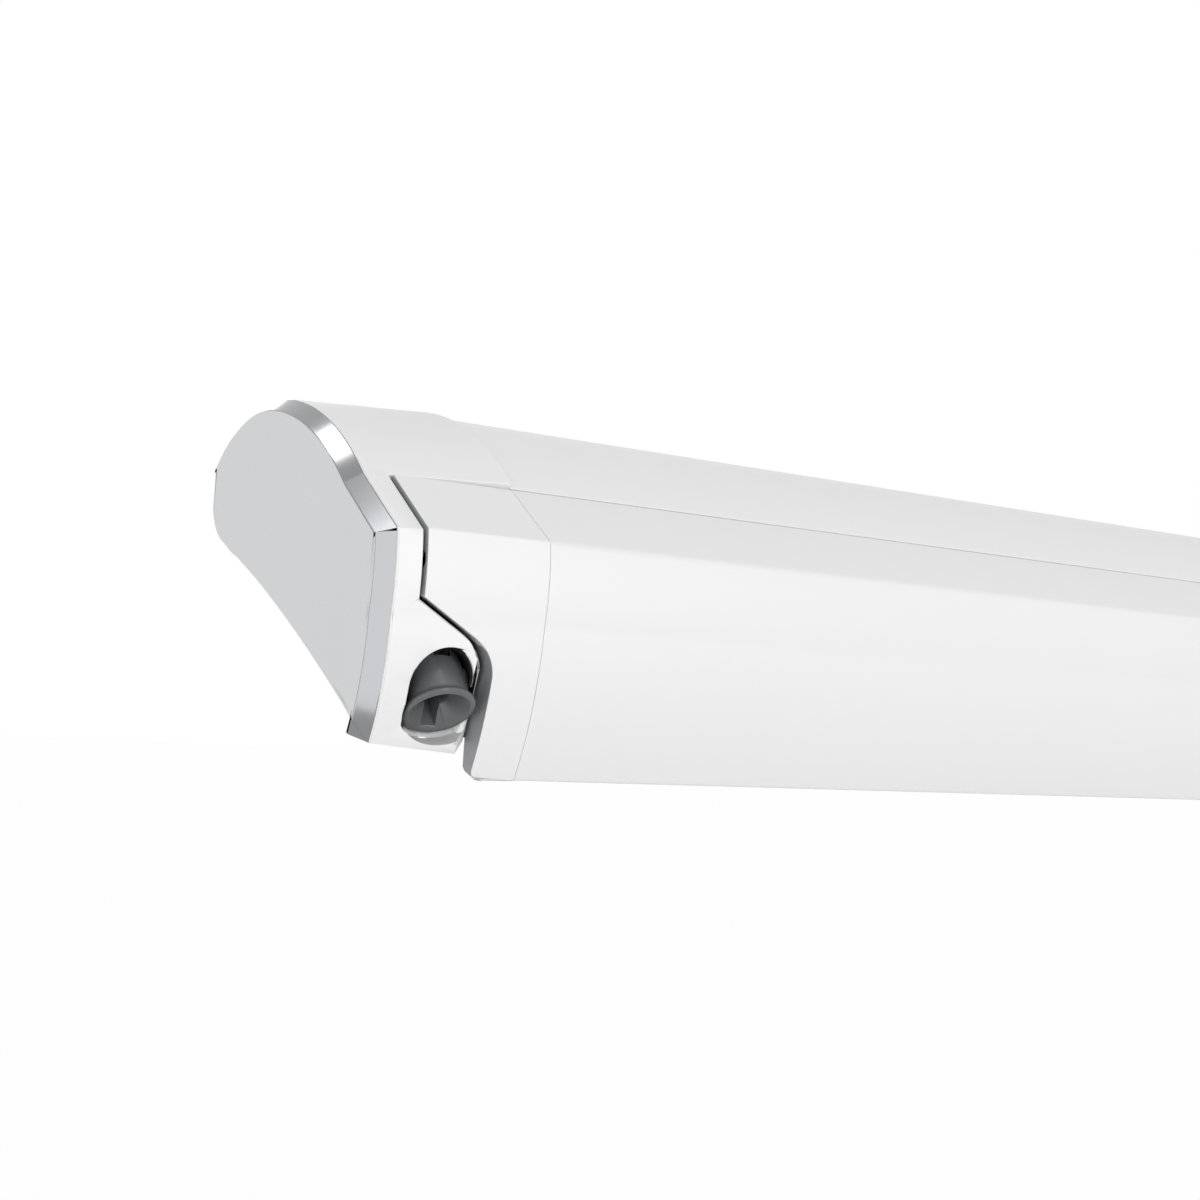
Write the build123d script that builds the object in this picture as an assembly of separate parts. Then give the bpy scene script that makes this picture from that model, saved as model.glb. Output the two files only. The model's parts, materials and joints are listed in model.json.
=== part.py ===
from build123d import *
import math
import os

# A roll out awning for the roof edge of a van, in millimetres.
# X runs along the awning, +Y points at the vehicle and +Z up. The front faces -Y.
# The origin is on the mounting face, at mid length, on the line of the mounting bolts.
# Places in the cross-section are given as (back, up): back from the front crease, up from the toe.

# Overall sizes
AWNING_LENGTH = 2600.0
CASE_DEPTH = 171.0
CASE_HEIGHT = 127.0
CASE_WALL = 1.6
CAP_LENGTH = 55.0
TRIM_THICKNESS = 6.0
TRIM_CHAMFER = 5.0
TRIM_RIM = 0.5
CAP_PROUD = 1.5
CAP_TUCK = 1.5
CAP_WALL = 3.0
OVERRUN = 30.0

# Mounting face
MOUNT_UP = 96.0
REAR_WALL = 4.0
REAR_WALL_LOW = 85.0
REAR_WALL_HIGH = 107.0
MOUNT_HOLE_RADIUS = 4.25
OUTER_BOLT_SPACING = 2000.0
INNER_BOLT_SPACING = 800.0
FACE_RECESS = 0.4

# Outline of the case, as shares of its depth and height
CASE_SHARES = {
    "crease": (0.0, 0.567),
    "joint": (0.1754, 0.7244),
    "dome": (0.3977, 0.9134),
    "crown": (0.655, 1.0),
    "shoulder": (0.883, 0.941),
    "rear_top": (1.0, 0.8346),
    "rear_low": (1.0, 0.6772),
    "corner": (0.962, 0.5866),
    "floor_rear": (0.8772, 0.5236),
    "floor_mid": (0.5146, 0.3165),
    "floor_front": (0.1579, 0.0709),
    "toe": (0.0702, 0.0),
    "low_front": (0.0269, 0.1417),
    "face": (0.0029, 0.3386),
    "high_front": (-0.0058, 0.4567),
}

# Lead rail section
RAIL_WALL = 1.6
RAIL_GAP = 0.8
RAIL_LIP_BACK = 15.0
RAIL_LIP_DROP = 9.0
RAIL_LIP_FOOT = 1.9
RAIL_BACK = 37.5
RAIL_BACK_LOW = 4.0
RAIL_TOP_DEPTH = 6.0
RAIL_WEB_UP = 44.0
KEDER_RADIUS = 3.0
KEDER_WALL = 1.4
KEDER_BACK = 32.6
KEDER_UP = 82.2
KEDER_SLOT = 1.6
KEDER_SLOT_ANGLE = 24.0
FLOOR_EDGE_BACK = 40.0

# Outboard edge of the lead rail's end caps, seen from the front
LEAD_CAP_STRIP = 9.5
LEAD_CAP_STEP_UP = 50.0
LEAD_CAP_NOTCH = 37.6
LEAD_CAP_NOTCH_UP = 32.7
LEAD_CAP_NOTCH_ROUND = 16.0
EASE_START = 2.0
EASE_END = 9.0
EASE_WIDTH = 5.0
LEAD_CAP_FOOT_UP = -13.3
LEAD_CAP_FOOT_ROUND = 4.0
LEAD_CAP_WALL = 2.5
LEAD_CAP_DEPTH = 20.0
CAP_GAP = 1.2

# Screws that hold the end caps, in ports of the extrusions
PORT_SHARES = ((0.5274, 0.9288), (0.9034, 0.8794), (0.8682, 0.5635))
RAIL_PORTS = ((4.3, 62.0), (32.4, 49.2))
SCREW_RADIUS = 2.0
SCREW_BITE = 15.0
SCREW_HEAD_RADIUS = 3.4
SCREW_HEAD = 2.4
PORT_WALL = 2.0
PEG_RADIUS = 3.0
PEG_SHARES = ((0.40, 0.78), (0.80, 0.88), (0.52, 0.42), (0.12, 0.30))

# Folding arms
TILT = 16.0
ARM_PIVOT_X = 1130.0
ARM_LENGTH = 1060.0
ARM_SWING = 70.0
SHOULDER_BACK = 71.5
SHOULDER_UP = 54.5
ARM_LAYER = 21.85
ARM_WIDTH = 16.0
ARM_HEIGHT = 30.0
ARM_ROUND = 5.0
ARM_WALL = 2.0
KNUCKLE_RADIUS = 10.4
KNUCKLE_HEIGHT = 16.0
EAR_GAP = 0.3
PIN_RADIUS = 5.0
PIN_CLEARANCE = 0.05
PIN_HEAD = 1.2
PIN_HEAD_RADIUS = 7.0
NECK_LENGTH = 34.0
FLANGE = 6.0
PLUG_LENGTH = 30.0
PLUG_CLEARANCE = 0.1
FORK_BACK = 40.0
FORK_ROOT = 28.0
SPRING_RADIUS = 4.5
SPRING_LENGTH = 320.0
SPRING_CABLE_RADIUS = 1.5

# Brackets of the arms
WEB_NEAR = 12.0
WEB_FAR = 40.0
WEB_HALF = 8.0
BASE_OUT = 70.0
BASE_IN = 30.0
BASE_FRONT = 10.0
BASE_REAR = 22.0
BASE_DEEP = 30.0
BRACKET_BOLT_RADIUS = 4.0
BRACKET_BOLT_HEAD = 5.0
BRACKET_BOLT_HEAD_RADIUS = 6.5
BRACKET_BOLT_INSET = 10.0
WRIST_PLATE = 3.0
WRIST_PLATE_OUT = 60.0
WRIST_PLATE_HALF = 15.0
WRIST_SCREW_INSET = 8.0

# Roller and fabric
ROLLER_BACK = 112.0
ROLLER_UP = 86.0
TUBE_RADIUS = 24.0
TUBE_WALL = 1.5
TUBE_LENGTH = 2450.0
ROLL_RADIUS = 30.3
FABRIC_WIDTH = 2400.0
FABRIC_THICKNESS = 0.5
ROLL_CLEARANCE = 0.3
BEAD_RADIUS = 2.6
STRIP_REACH = 46.0
PLUG_DEPTH = 14.0
SPINDLE_RADIUS = 6.0
SPINDLE_CLEARANCE = 0.05
BEARING_PLATE = 3.0
BEARING_PLATE_BACK = 90.0
BUSH_RADIUS = 10.0
BUSH_FLANGE = 1.5
BUSH_FLANGE_RADIUS = 13.0
BOSS_RADIUS = 10.0
BOSS_LENGTH = 9.0

# Crank bell and its pocket
BELL_TILT = 54.0
BELL_BACK = 8.53
BELL_UP = 13.1
BELL_IN = 22.1
BELL_RIM_RADIUS = 12.6
BELL_RIM = 2.6
BELL_BODY_RADIUS = 10.5
BELL_BODY_LENGTH = 24.0
BELL_SHOULDER = 4.0
BELL_MOUTH_RADIUS = 10.6
BELL_CONE_DEPTH = 11.0
BELL_BORE_RADIUS = 4.5
BELL_BORE_DEPTH = 20.0
BELL_WALL = 1.4
BELL_SLOT = 5.0
BELL_SLOT_AT = 1.2
BELL_SLOT_DEPTH = 13.0
BELL_WINDOW = 5.6
BELL_WINDOWS_AT = (9.0, 15.6)
SHAFT_RADIUS = 5.0
POCKET_WIDTH = 26.4
POCKET_TOP = 34.5
POCKET_BOTTOM = 6.5
POCKET_DRAW = 15.0
POCKET_DEPTH = 15.0
POCKET_ROUND = 3.0
POCKET_CLEARANCE = 0.9
POCKET_WALL = 1.8
SHAFT_CLEARANCE = 0.6

# Gearbox
WORM_RADIUS = 6.8
WORM_LENGTH = 24.0
WORM_AT = 84.2
WORM_TO_WHEEL = 20.0
GEAR_CLEARANCE = 0.3
WHEEL_WIDTH = 10.0
IDLER_RADIUS = 4.0
PINION_TEETH = 12
ROLLER_GEAR_TEETH = 24
GEAR_IN = 34.0
GEAR_WIDTH = 10.0
TOOTH_HEIGHT_SHARE = 0.8
TOOTH_DEPTH_SHARE = 1.1
TOOTH_WIDTH_SHARE = 0.42
TOOTH_TIP_SHARE = 0.22
TOOTH_ROOT_SHARE = 0.56
HOUSING_START = 56.2
HOUSING_END = 104.2
HOUSING_FRONT = 12.0
HOUSING_REAR = 36.0
HOUSING_WALL = 2.5
HOUSING_END_IN = 33.0

# Support legs, stored in the lead rail in two layers so that each can be drawn out past the other
LEG_PIVOT_X = 1165.0
LEG_BACK = 26.0
LEG_UPS = {"left": 33.0, "right": 9.0}
LEG_WIDTH = 14.0
LEG_HEIGHT = 16.0
LEG_ROUND = 3.0
LEG_WALL = 1.6
LEG_LENGTH = 1000.0
LEG_PIN_RADIUS = 3.5
LEG_INNER_CLEARANCE = 0.3
LEG_INNER_LENGTH = 970.0
LEG_INNER_PROUD = 22.0
COLLAR_WIDTH = 17.0
COLLAR_HEIGHT = 20.0
COLLAR_LENGTH = 26.0
COLLAR_PROUD = 4.0
LEVER_LENGTH = 44.0
LEVER_WIDTH = 11.0
LEVER_THICKNESS = 3.0
LEVER_DROP = 3.0
LEVER_PIN_RADIUS = 1.5
LEVER_KNUCKLE_RADIUS = 2.7
LEVER_EAR = 2.4
FOOT_LENGTH = 58.0
FOOT_WIDTH = 16.0
FOOT_THICKNESS = 4.0
FOOT_PIN_RADIUS = 2.5
FOOT_TAB = 5.0
FOOT_HOLE_RADIUS = 3.5
LEG_CHEEK = 1.2
LEG_CHEEK_GAP = 0.3
LEG_CHEEK_HALF = 14.0
LEG_CHEEK_LOW = 9.0

SEAM_X = AWNING_LENGTH / 2 - TRIM_THICKNESS - CAP_LENGTH
CAP_FACE_X = AWNING_LENGTH / 2 - TRIM_THICKNESS
KNUCKLE_HALF = KNUCKLE_HEIGHT / 2
ARM_HALF = ARM_HEIGHT / 2
ELBOW_X = math.sqrt(ARM_LENGTH**2 - (ARM_LAYER / 2) ** 2)
TILT_COS = math.cos(math.radians(TILT))
TILT_SIN = math.sin(math.radians(TILT))


def spot(back, up):
    """The (Y, Z) of a place in the cross-section."""
    return (back - CASE_DEPTH, up - MOUNT_UP)


def case_spot(name):
    """The (Y, Z) of a named point of the case's outline."""
    back_share, up_share = CASE_SHARES[name]
    return spot(back_share * CASE_DEPTH, up_share * CASE_HEIGHT)


def case_face(grow=0.0):
    """The whole case in section, grown or shrunk by a few millimetres."""
    p = {name: case_spot(name) for name in CASE_SHARES}
    edges = [
        Line(p["crease"], p["joint"]),
        ThreePointArc(p["joint"], p["dome"], p["crown"]),
        ThreePointArc(p["crown"], p["shoulder"], p["rear_top"]),
        Line(p["rear_top"], p["rear_low"]),
        ThreePointArc(p["rear_low"], p["corner"], p["floor_rear"]),
        ThreePointArc(p["floor_rear"], p["floor_mid"], p["floor_front"]),
        Line(p["floor_front"], p["toe"]),
        ThreePointArc(p["toe"], p["low_front"], p["face"]),
        ThreePointArc(p["face"], p["high_front"], p["crease"]),
    ]
    face = make_face(edges)
    return offset(face, amount=grow, kind=Kind.INTERSECTION) if grow else face


def slope_at_joint():
    """Unit vectors along the slope band, towards the rear, and square to it, outwards."""
    (y0, z0), (y1, z1) = case_spot("crease"), case_spot("joint")
    along = Vector(y1 - y0, z1 - z0).normalized()
    return along, Vector(-along.Y, along.X)


def at_joint(along_slope, outwards):
    """A (Y, Z) beside the joint of the case and the lead rail."""
    along, square = slope_at_joint()
    place = Vector(*case_spot("joint")) + along * along_slope + square * outwards
    return (place.X, place.Y)


def run(face, start, end):
    """A section swept along X from start to end."""
    return extrude(Plane.YZ.offset(start) * face, amount=end - start)


def band(back_low, back_high, up_low, up_high):
    """A rectangle in the cross-section."""
    (y0, z0), (y1, z1) = spot(back_low, up_low), spot(back_high, up_high)
    return make_face(Polyline((y0, z0), (y1, z0), (y1, z1), (y0, z1), close=True))


def ring(back, up, radius):
    """A disc in the cross-section."""
    return Pos(*spot(back, up)) * Circle(radius)


def front_region(back, gap):
    """All of the section in front of the case: below the joint and ahead of a vertical line."""
    far = CASE_HEIGHT
    corners = [
        at_joint(gap, far),
        at_joint(gap, -RAIL_TOP_DEPTH),
        spot(back, RAIL_TOP_UP),
        spot(back, -far),
        spot(-far, -far),
        spot(-far, far + far),
    ]
    return make_face(Polyline(*corners, close=True))


RAIL_TOP_UP = at_joint(-RAIL_GAP / 2, -RAIL_TOP_DEPTH)[1] + MOUNT_UP


def rail_face():
    """The lead rail's section, filled."""
    p = {name: case_spot(name) for name in ("crease", "face", "high_front", "low_front")}
    lip = spot(RAIL_LIP_BACK, -RAIL_LIP_DROP)
    edges = [
        Line(p["crease"], at_joint(-RAIL_GAP / 2, 0)),
        Line(at_joint(-RAIL_GAP / 2, 0), at_joint(-RAIL_GAP / 2, -RAIL_TOP_DEPTH)),
        Line(at_joint(-RAIL_GAP / 2, -RAIL_TOP_DEPTH), spot(RAIL_BACK, RAIL_TOP_UP)),
        Line(spot(RAIL_BACK, RAIL_TOP_UP), spot(RAIL_BACK, RAIL_BACK_LOW)),
        Line(spot(RAIL_BACK, RAIL_BACK_LOW), lip),
        ThreePointArc(lip, p["low_front"], p["face"]),
        ThreePointArc(p["face"], p["high_front"], p["crease"]),
    ]
    return make_face(edges)


def rail_inside(wall=RAIL_WALL):
    """What is left of the lead rail's section inside its walls."""
    return offset(rail_face(), amount=-wall, kind=Kind.INTERSECTION)


def leg_channel():
    """The space for the legs in the lead rail, open below."""
    inside_back = RAIL_BACK - RAIL_WALL
    chamber = rail_inside() & band(0, inside_back, -RAIL_LIP_DROP, RAIL_WEB_UP)
    mouth = band(
        RAIL_LIP_BACK + RAIL_LIP_FOOT, inside_back, -CASE_HEIGHT, RAIL_BACK_LOW + RAIL_WEB_UP / 2
    )
    return chamber + mouth


def port(back, up):
    """A screw port's outer ring, in section."""
    return ring(back, up, SCREW_RADIUS + PORT_WALL)


def rail_section():
    """The lead rail as it is extruded."""
    chamber = rail_inside() & band(0, RAIL_BACK, RAIL_WEB_UP + RAIL_WALL, CASE_HEIGHT)
    section = rail_face() - leg_channel() - chamber
    section += ring(KEDER_BACK, KEDER_UP, KEDER_RADIUS + KEDER_WALL)
    section += band(KEDER_BACK, RAIL_BACK, KEDER_UP, RAIL_TOP_UP)
    for back, up in RAIL_PORTS:
        section += port(back, up) & rail_face()
        section -= ring(back, up, SCREW_RADIUS)
    slot = Pos(*spot(KEDER_BACK, KEDER_UP)) * Rot(0, 0, KEDER_SLOT_ANGLE)
    section -= slot * Pos(KEDER_RADIUS * 2, 0) * Rectangle(KEDER_RADIUS * 4, KEDER_SLOT)
    return section - ring(KEDER_BACK, KEDER_UP, KEDER_RADIUS)


def case_ports():
    """The (back, up) of the case's screw ports."""
    return [(b * CASE_DEPTH, u * CASE_HEIGHT) for b, u in PORT_SHARES]


def case_section():
    """The case as it is extruded: dome, rear wall and floor, open at the front."""
    full = case_face()
    section = full - case_face(-CASE_WALL)
    section += band(CASE_DEPTH - REAR_WALL, CASE_DEPTH, REAR_WALL_LOW, REAR_WALL_HIGH) & full
    for back, up in case_ports():
        section += port(back, up)
    section -= front_region(FLOOR_EDGE_BACK, RAIL_GAP / 2)
    for back, up in case_ports():
        section -= ring(back, up, SCREW_RADIUS)
    return section


def cassette_profile():
    """The extruded case with its mounting holes."""
    case = run(case_section(), -SEAM_X, SEAM_X)
    for spacing in (OUTER_BOLT_SPACING, INNER_BOLT_SPACING):
        for side in (-1, 1):
            hole = Plane.XZ * Pos(side * spacing / 2, 0) * Circle(MOUNT_HOLE_RADIUS)
            case -= extrude(hole, amount=REAR_WALL * 2, both=True)
    return case


def cap_edge(grow, ease=0.0):
    """Outboard edge of the lead rail's left cap, seen from the front, with its upright eased outwards."""
    far = CASE_HEIGHT + OVERRUN
    x0 = -CAP_FACE_X
    notch_x = x0 + LEAD_CAP_NOTCH - ease
    notch_up = LEAD_CAP_NOTCH_UP + ease * (LEAD_CAP_STEP_UP - LEAD_CAP_NOTCH_UP) / (
        LEAD_CAP_NOTCH - LEAD_CAP_STRIP
    )
    square = make_face(
        Polyline(
            (x0 + LEAD_CAP_STRIP, far),
            (x0 + LEAD_CAP_STRIP, LEAD_CAP_STEP_UP),
            (notch_x, notch_up),
            (notch_x, LEAD_CAP_FOOT_UP),
            (x0 + CAP_LENGTH + OVERRUN, LEAD_CAP_FOOT_UP),
            (x0 + CAP_LENGTH + OVERRUN, far),
            close=True,
        )
    )
    corners = square.vertices()
    notch = corners.sort_by_distance((notch_x, notch_up))[0]
    edge = fillet(notch, LEAD_CAP_NOTCH_ROUND)
    foot = edge.vertices().sort_by_distance((notch_x, LEAD_CAP_FOOT_UP))[0]
    edge = fillet(foot, LEAD_CAP_FOOT_ROUND)
    return offset(edge, amount=grow, kind=Kind.ARC) if grow else edge


def cap_prism(grow, depth):
    """The cap's edge swept the way the lead rail leaves, from depth behind the crease to the front."""
    front = Plane(origin=(0, -CASE_DEPTH, -MOUNT_UP), x_dir=(1, 0, 0), z_dir=(0, -1, 0))
    way_out = Vector(0, -TILT_COS, -TILT_SIN)
    edge = front * cap_edge(grow)
    behind = extrude(edge, amount=depth / TILT_COS, dir=-way_out)
    ahead = extrude(edge, amount=CASE_DEPTH / TILT_COS, dir=way_out)
    return behind + ahead


def cap_easing():
    """The slope that sets the end cap's front edge back along the gap, for the lead rail to come in by."""
    levels = [(EASE_START, EASE_WIDTH), (EASE_END, 0.0)]
    rims = []
    for back, ease in levels:
        y, z = spot(back, 0)
        front = Plane(origin=(0, y, -MOUNT_UP), x_dir=(1, 0, 0), z_dir=(0, -1, 0))
        rims.append(front * cap_edge(CAP_GAP, ease))
    return loft(rims, ruled=True) + extrude(rims[0], amount=OVERRUN)


def lead_cap():
    """The lead rail's left end cap: a skin with a return along its outboard edge."""
    start, end = -CAP_FACE_X, -SEAM_X
    filled = run(rail_face(), start, end)
    hollow = rail_inside(LEAD_CAP_WALL)
    rear = band(LEAD_CAP_DEPTH, CASE_DEPTH, -CASE_HEIGHT, RAIL_TOP_UP - LEAD_CAP_WALL)
    ahead = band(-CASE_DEPTH, LEAD_CAP_DEPTH, -CASE_HEIGHT, CASE_HEIGHT)
    inner = run(hollow & ahead, start, end - LEAD_CAP_WALL)
    inner &= cap_prism(-LEAD_CAP_WALL, LEAD_CAP_DEPTH)
    cap = filled & cap_prism(0, CASE_DEPTH)
    cap -= inner
    cap -= run(rear & (hollow + band(LEAD_CAP_DEPTH, CASE_DEPTH, -CASE_HEIGHT, KEDER_UP)),
               start, end - LEAD_CAP_WALL)
    for back, up in RAIL_PORTS:
        cap -= run(ring(back, up, SCREW_RADIUS), start, end)
        head = ring(back, up, SCREW_HEAD_RADIUS + PIN_CLEARANCE)
        cap -= run(head, start, end - LEAD_CAP_WALL)
    cap -= run(ring(KEDER_BACK, KEDER_UP, KEDER_RADIUS), start, end)
    return cap


def bell_plane(along=0.0):
    """A plane square to the bell's axis, at a distance up it from the mouth. Its normal points up the axis."""
    y, z = spot(BELL_BACK, BELL_UP)
    up_axis = Vector(0, math.cos(math.radians(BELL_TILT)), math.sin(math.radians(BELL_TILT)))
    mouth = Vector(-CAP_FACE_X + BELL_IN, y, z)
    return Plane(origin=mouth + up_axis * along, x_dir=(1, 0, 0), z_dir=up_axis)


def bell_envelope(grow):
    """The space that the bell turns in, grown by a clearance."""
    disc_face = bell_plane(-grow) * Circle(BELL_RIM_RADIUS + grow)
    draw = math.radians(POCKET_DRAW)
    rim = extrude(disc_face, amount=BELL_RIM + BELL_SHOULDER + grow * 2)
    rim += extrude(disc_face, amount=OVERRUN, dir=Vector(0, -math.cos(draw), -math.sin(draw)))
    body_end = BELL_BODY_LENGTH + BELL_SHOULDER + grow
    body = extrude(bell_plane() * Circle(BELL_BODY_RADIUS + grow), amount=body_end)
    return rim + body


def pocket(grow):
    """The arched pocket of the left end cap, with the space of the bell."""
    half = POCKET_WIDTH / 2 + grow
    top, bottom = POCKET_TOP + grow, POCKET_BOTTOM - grow
    front = Plane(origin=(0, -CASE_DEPTH, -MOUNT_UP), x_dir=(1, 0, 0), z_dir=(0, -1, 0))
    x = -CAP_FACE_X + BELL_IN
    arch = Pos(x, top - half) * Circle(half)
    block = Rectangle(half * 2, top - half - bottom)
    block = fillet(block.vertices().group_by(Axis.Y)[0], POCKET_ROUND)
    window = front * (arch + Pos(x, (top - half + bottom) / 2) * block)
    depth = POCKET_DEPTH + grow
    return extrude(window, amount=-depth) + extrude(window, amount=OVERRUN) + bell_envelope(
        POCKET_CLEARANCE + grow
    )


def end_cap(with_pocket):
    """The left end cap: a tapering shell round the lead rail's cap, with or without the bell's pocket."""
    face_plane = Plane.YZ.offset(-CAP_FACE_X)
    taper = -math.degrees(math.atan((CAP_PROUD + CAP_TUCK) / CAP_LENGTH))
    body = extrude(face_plane * case_face(-CAP_TUCK), amount=CAP_LENGTH, taper=taper)
    inside = extrude(
        Plane.YZ.offset(-CAP_FACE_X + CAP_WALL) * case_face(-CAP_TUCK - CAP_WALL),
        amount=CAP_LENGTH,
        taper=taper,
    )
    reach = run(front_region(RAIL_BACK + CAP_GAP, CAP_GAP / 2), -CAP_FACE_X, -SEAM_X + OVERRUN)
    top_zone = run(
        band(0, RAIL_BACK + CAP_GAP, KEDER_UP - KEDER_RADIUS - KEDER_WALL - CAP_GAP, CASE_HEIGHT),
        -CAP_FACE_X + LEAD_CAP_STRIP - CAP_GAP,
        -SEAM_X + OVERRUN,
    )
    seam_zone = run(
        band(-CASE_DEPTH, RAIL_BACK + CAP_GAP, -CASE_HEIGHT, CASE_HEIGHT),
        -SEAM_X - LEAD_CAP_WALL - CAP_GAP,
        -SEAM_X + OVERRUN,
    )
    way = cap_prism(CAP_GAP, LEAD_CAP_DEPTH + CAP_GAP) + cap_easing() + top_zone + seam_zone
    way &= reach
    thick_reach = run(
        front_region(RAIL_BACK + CAP_GAP + CAP_WALL, CAP_GAP / 2 + CAP_WALL),
        -CAP_FACE_X,
        -SEAM_X + OVERRUN,
    )
    walls = cap_prism(CAP_GAP + CAP_WALL, LEAD_CAP_DEPTH + CAP_GAP + CAP_WALL) & thick_reach
    solid_front = band(-CASE_DEPTH, POCKET_DEPTH + POCKET_WALL, -CASE_HEIGHT, LEAD_CAP_STEP_UP)
    cavity = inside - walls
    cavity -= run(solid_front, -CAP_FACE_X, -CAP_FACE_X + LEAD_CAP_NOTCH)
    if with_pocket:
        cavity -= pocket(POCKET_WALL)
    cap = body - way - cavity
    if with_pocket:
        cap -= pocket(0)
        shaft = bell_plane(BELL_BODY_LENGTH) * Circle(SHAFT_RADIUS + SHAFT_CLEARANCE)
        cap -= extrude(shaft, amount=HOUSING_START - BELL_BODY_LENGTH)
    cap += run(
        ring(ROLLER_BACK, ROLLER_UP, BOSS_RADIUS),
        -CAP_FACE_X + CAP_WALL,
        -CAP_FACE_X + CAP_WALL + BOSS_LENGTH,
    )
    bore = ring(ROLLER_BACK, ROLLER_UP, SPINDLE_RADIUS + SPINDLE_CLEARANCE)
    cap -= run(bore, -CAP_FACE_X + CAP_WALL, -SEAM_X)
    for back, up in case_ports():
        cap -= run(ring(back, up, SCREW_RADIUS + PIN_CLEARANCE), -CAP_FACE_X, -SEAM_X)
        cap -= run(ring(back, up, SCREW_HEAD_RADIUS + PIN_CLEARANCE), -CAP_FACE_X, -CAP_FACE_X + SCREW_HEAD)
    for back_share, up_share in PEG_SHARES:
        peg = ring(back_share * CASE_DEPTH, up_share * CASE_HEIGHT, PEG_RADIUS + PIN_CLEARANCE)
        cap -= run(peg, -CAP_FACE_X, -CAP_FACE_X + CAP_WALL)
    beyond = Pos(-SEAM_X, CASE_DEPTH / 2 - FACE_RECESS) * Box(
        CAP_LENGTH * 4, CASE_DEPTH, CASE_HEIGHT * 4
    )
    return cap - beyond


def trim_plate():
    """The left trim plate: a flat face with a bright chamfer, and pegs that snap into the end cap."""
    base = Plane.YZ.offset(-CAP_FACE_X) * case_face(-CAP_TUCK)
    rim = extrude(base, amount=-TRIM_RIM)
    angle = math.degrees(math.atan(TRIM_CHAMFER / (TRIM_THICKNESS - TRIM_RIM)))
    top = Plane.YZ.offset(-CAP_FACE_X - TRIM_RIM) * case_face(-CAP_TUCK)
    plate = rim + extrude(top, amount=-(TRIM_THICKNESS - TRIM_RIM), taper=angle)
    for back_share, up_share in PEG_SHARES:
        peg = ring(back_share * CASE_DEPTH, up_share * CASE_HEIGHT, PEG_RADIUS)
        plate += run(peg, -CAP_FACE_X, -CAP_FACE_X + CAP_WALL)
    return plate


def screw(back, up, head_x, tip_x):
    """A long screw along X, its head at head_x."""
    inwards = 1 if tip_x > head_x else -1
    shank = run(ring(back, up, SCREW_RADIUS), head_x, tip_x)
    return shank + run(ring(back, up, SCREW_HEAD_RADIUS), head_x, head_x + inwards * SCREW_HEAD)


def end_cap_screws():
    """The long screws of the left end cap."""
    return [screw(b, u, -CAP_FACE_X, -SEAM_X + SCREW_BITE) for b, u in case_ports()]


def lead_cap_screws():
    """The screws that hold the lead rail's left cap, heads on its end plate."""
    return [
        screw(b, u, -SEAM_X - LEAD_CAP_WALL - SCREW_HEAD, -SEAM_X + SCREW_BITE)
        for b, u in RAIL_PORTS
    ]


def arm_plane():
    """The plane that the left arm folds in, at its shoulder: y points at the vehicle, z up off the plane."""
    y, z = spot(SHOULDER_BACK, SHOULDER_UP)
    return Plane(origin=(-ARM_PIVOT_X, y, z), x_dir=(1, 0, 0), z_dir=(0, -TILT_SIN, TILT_COS))


def slab(shape, low, high):
    """A flat shape in the arm's plane, thickened from low to high."""
    return extrude(arm_plane().offset(low) * shape, amount=high - low)


def disc(x, y, radius):
    """A disc in the arm's plane."""
    return Pos(x, y) * Circle(radius)


def rect(x_low, x_high, y_low, y_high):
    """A rectangle in the arm's plane."""
    centre = ((x_low + x_high) / 2, (y_low + y_high) / 2)
    return Pos(*centre) * Rectangle(x_high - x_low, y_high - y_low)


def spanned(*shapes):
    """The tightest convex shape round flat shapes."""
    return make_hull([edge for shape in shapes for edge in shape.edges()])


def beam_shape(shrink=0.0):
    """The arm's section, shrunk for its inside and its plugs."""
    return RectangleRounded(
        ARM_WIDTH - shrink * 2, ARM_HEIGHT - shrink * 2, max(ARM_ROUND - shrink, ARM_ROUND / 5)
    )


def along_arm(shape, x_low, x_high, y):
    """A section swept along the arm."""
    plane = arm_plane()
    start = plane.from_local_coords((x_low, y, 0))
    across = Plane(origin=start, x_dir=plane.y_dir, z_dir=plane.x_dir)
    return extrude(across * shape, amount=x_high - x_low)


def arm_beam(y):
    """The extruded tube of an arm."""
    low, high = NECK_LENGTH, ELBOW_X - FORK_BACK
    tube = along_arm(beam_shape(), low, high, y)
    return tube - along_arm(beam_shape(ARM_WALL), low, high, y)


def plug(x, y, direction):
    """A flange against the end of an arm's tube and the plug inside it."""
    flange = along_arm(beam_shape(), min(x, x - direction * FLANGE), max(x, x - direction * FLANGE), y)
    far = x + direction * PLUG_LENGTH
    return flange + along_arm(beam_shape(ARM_WALL + PLUG_CLEARANCE), min(x, far), max(x, far), y)


def inner_knuckle(pivot_x, pivot_y, end_x, y):
    """A cast arm end with one thick eye, reaching from its pivot to the tube."""
    direction = 1 if end_x > pivot_x else -1
    root = rect(*sorted((end_x, end_x - direction * FLANGE)), y - ARM_WIDTH / 2, y + ARM_WIDTH / 2)
    eye = spanned(disc(pivot_x, pivot_y, KNUCKLE_RADIUS), root)
    body = slab(eye, -KNUCKLE_HALF, KNUCKLE_HALF) + plug(end_x, y, direction)
    bore = disc(pivot_x, pivot_y, PIN_RADIUS + PIN_CLEARANCE)
    return body - slab(bore, -ARM_HALF, ARM_HALF)


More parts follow.
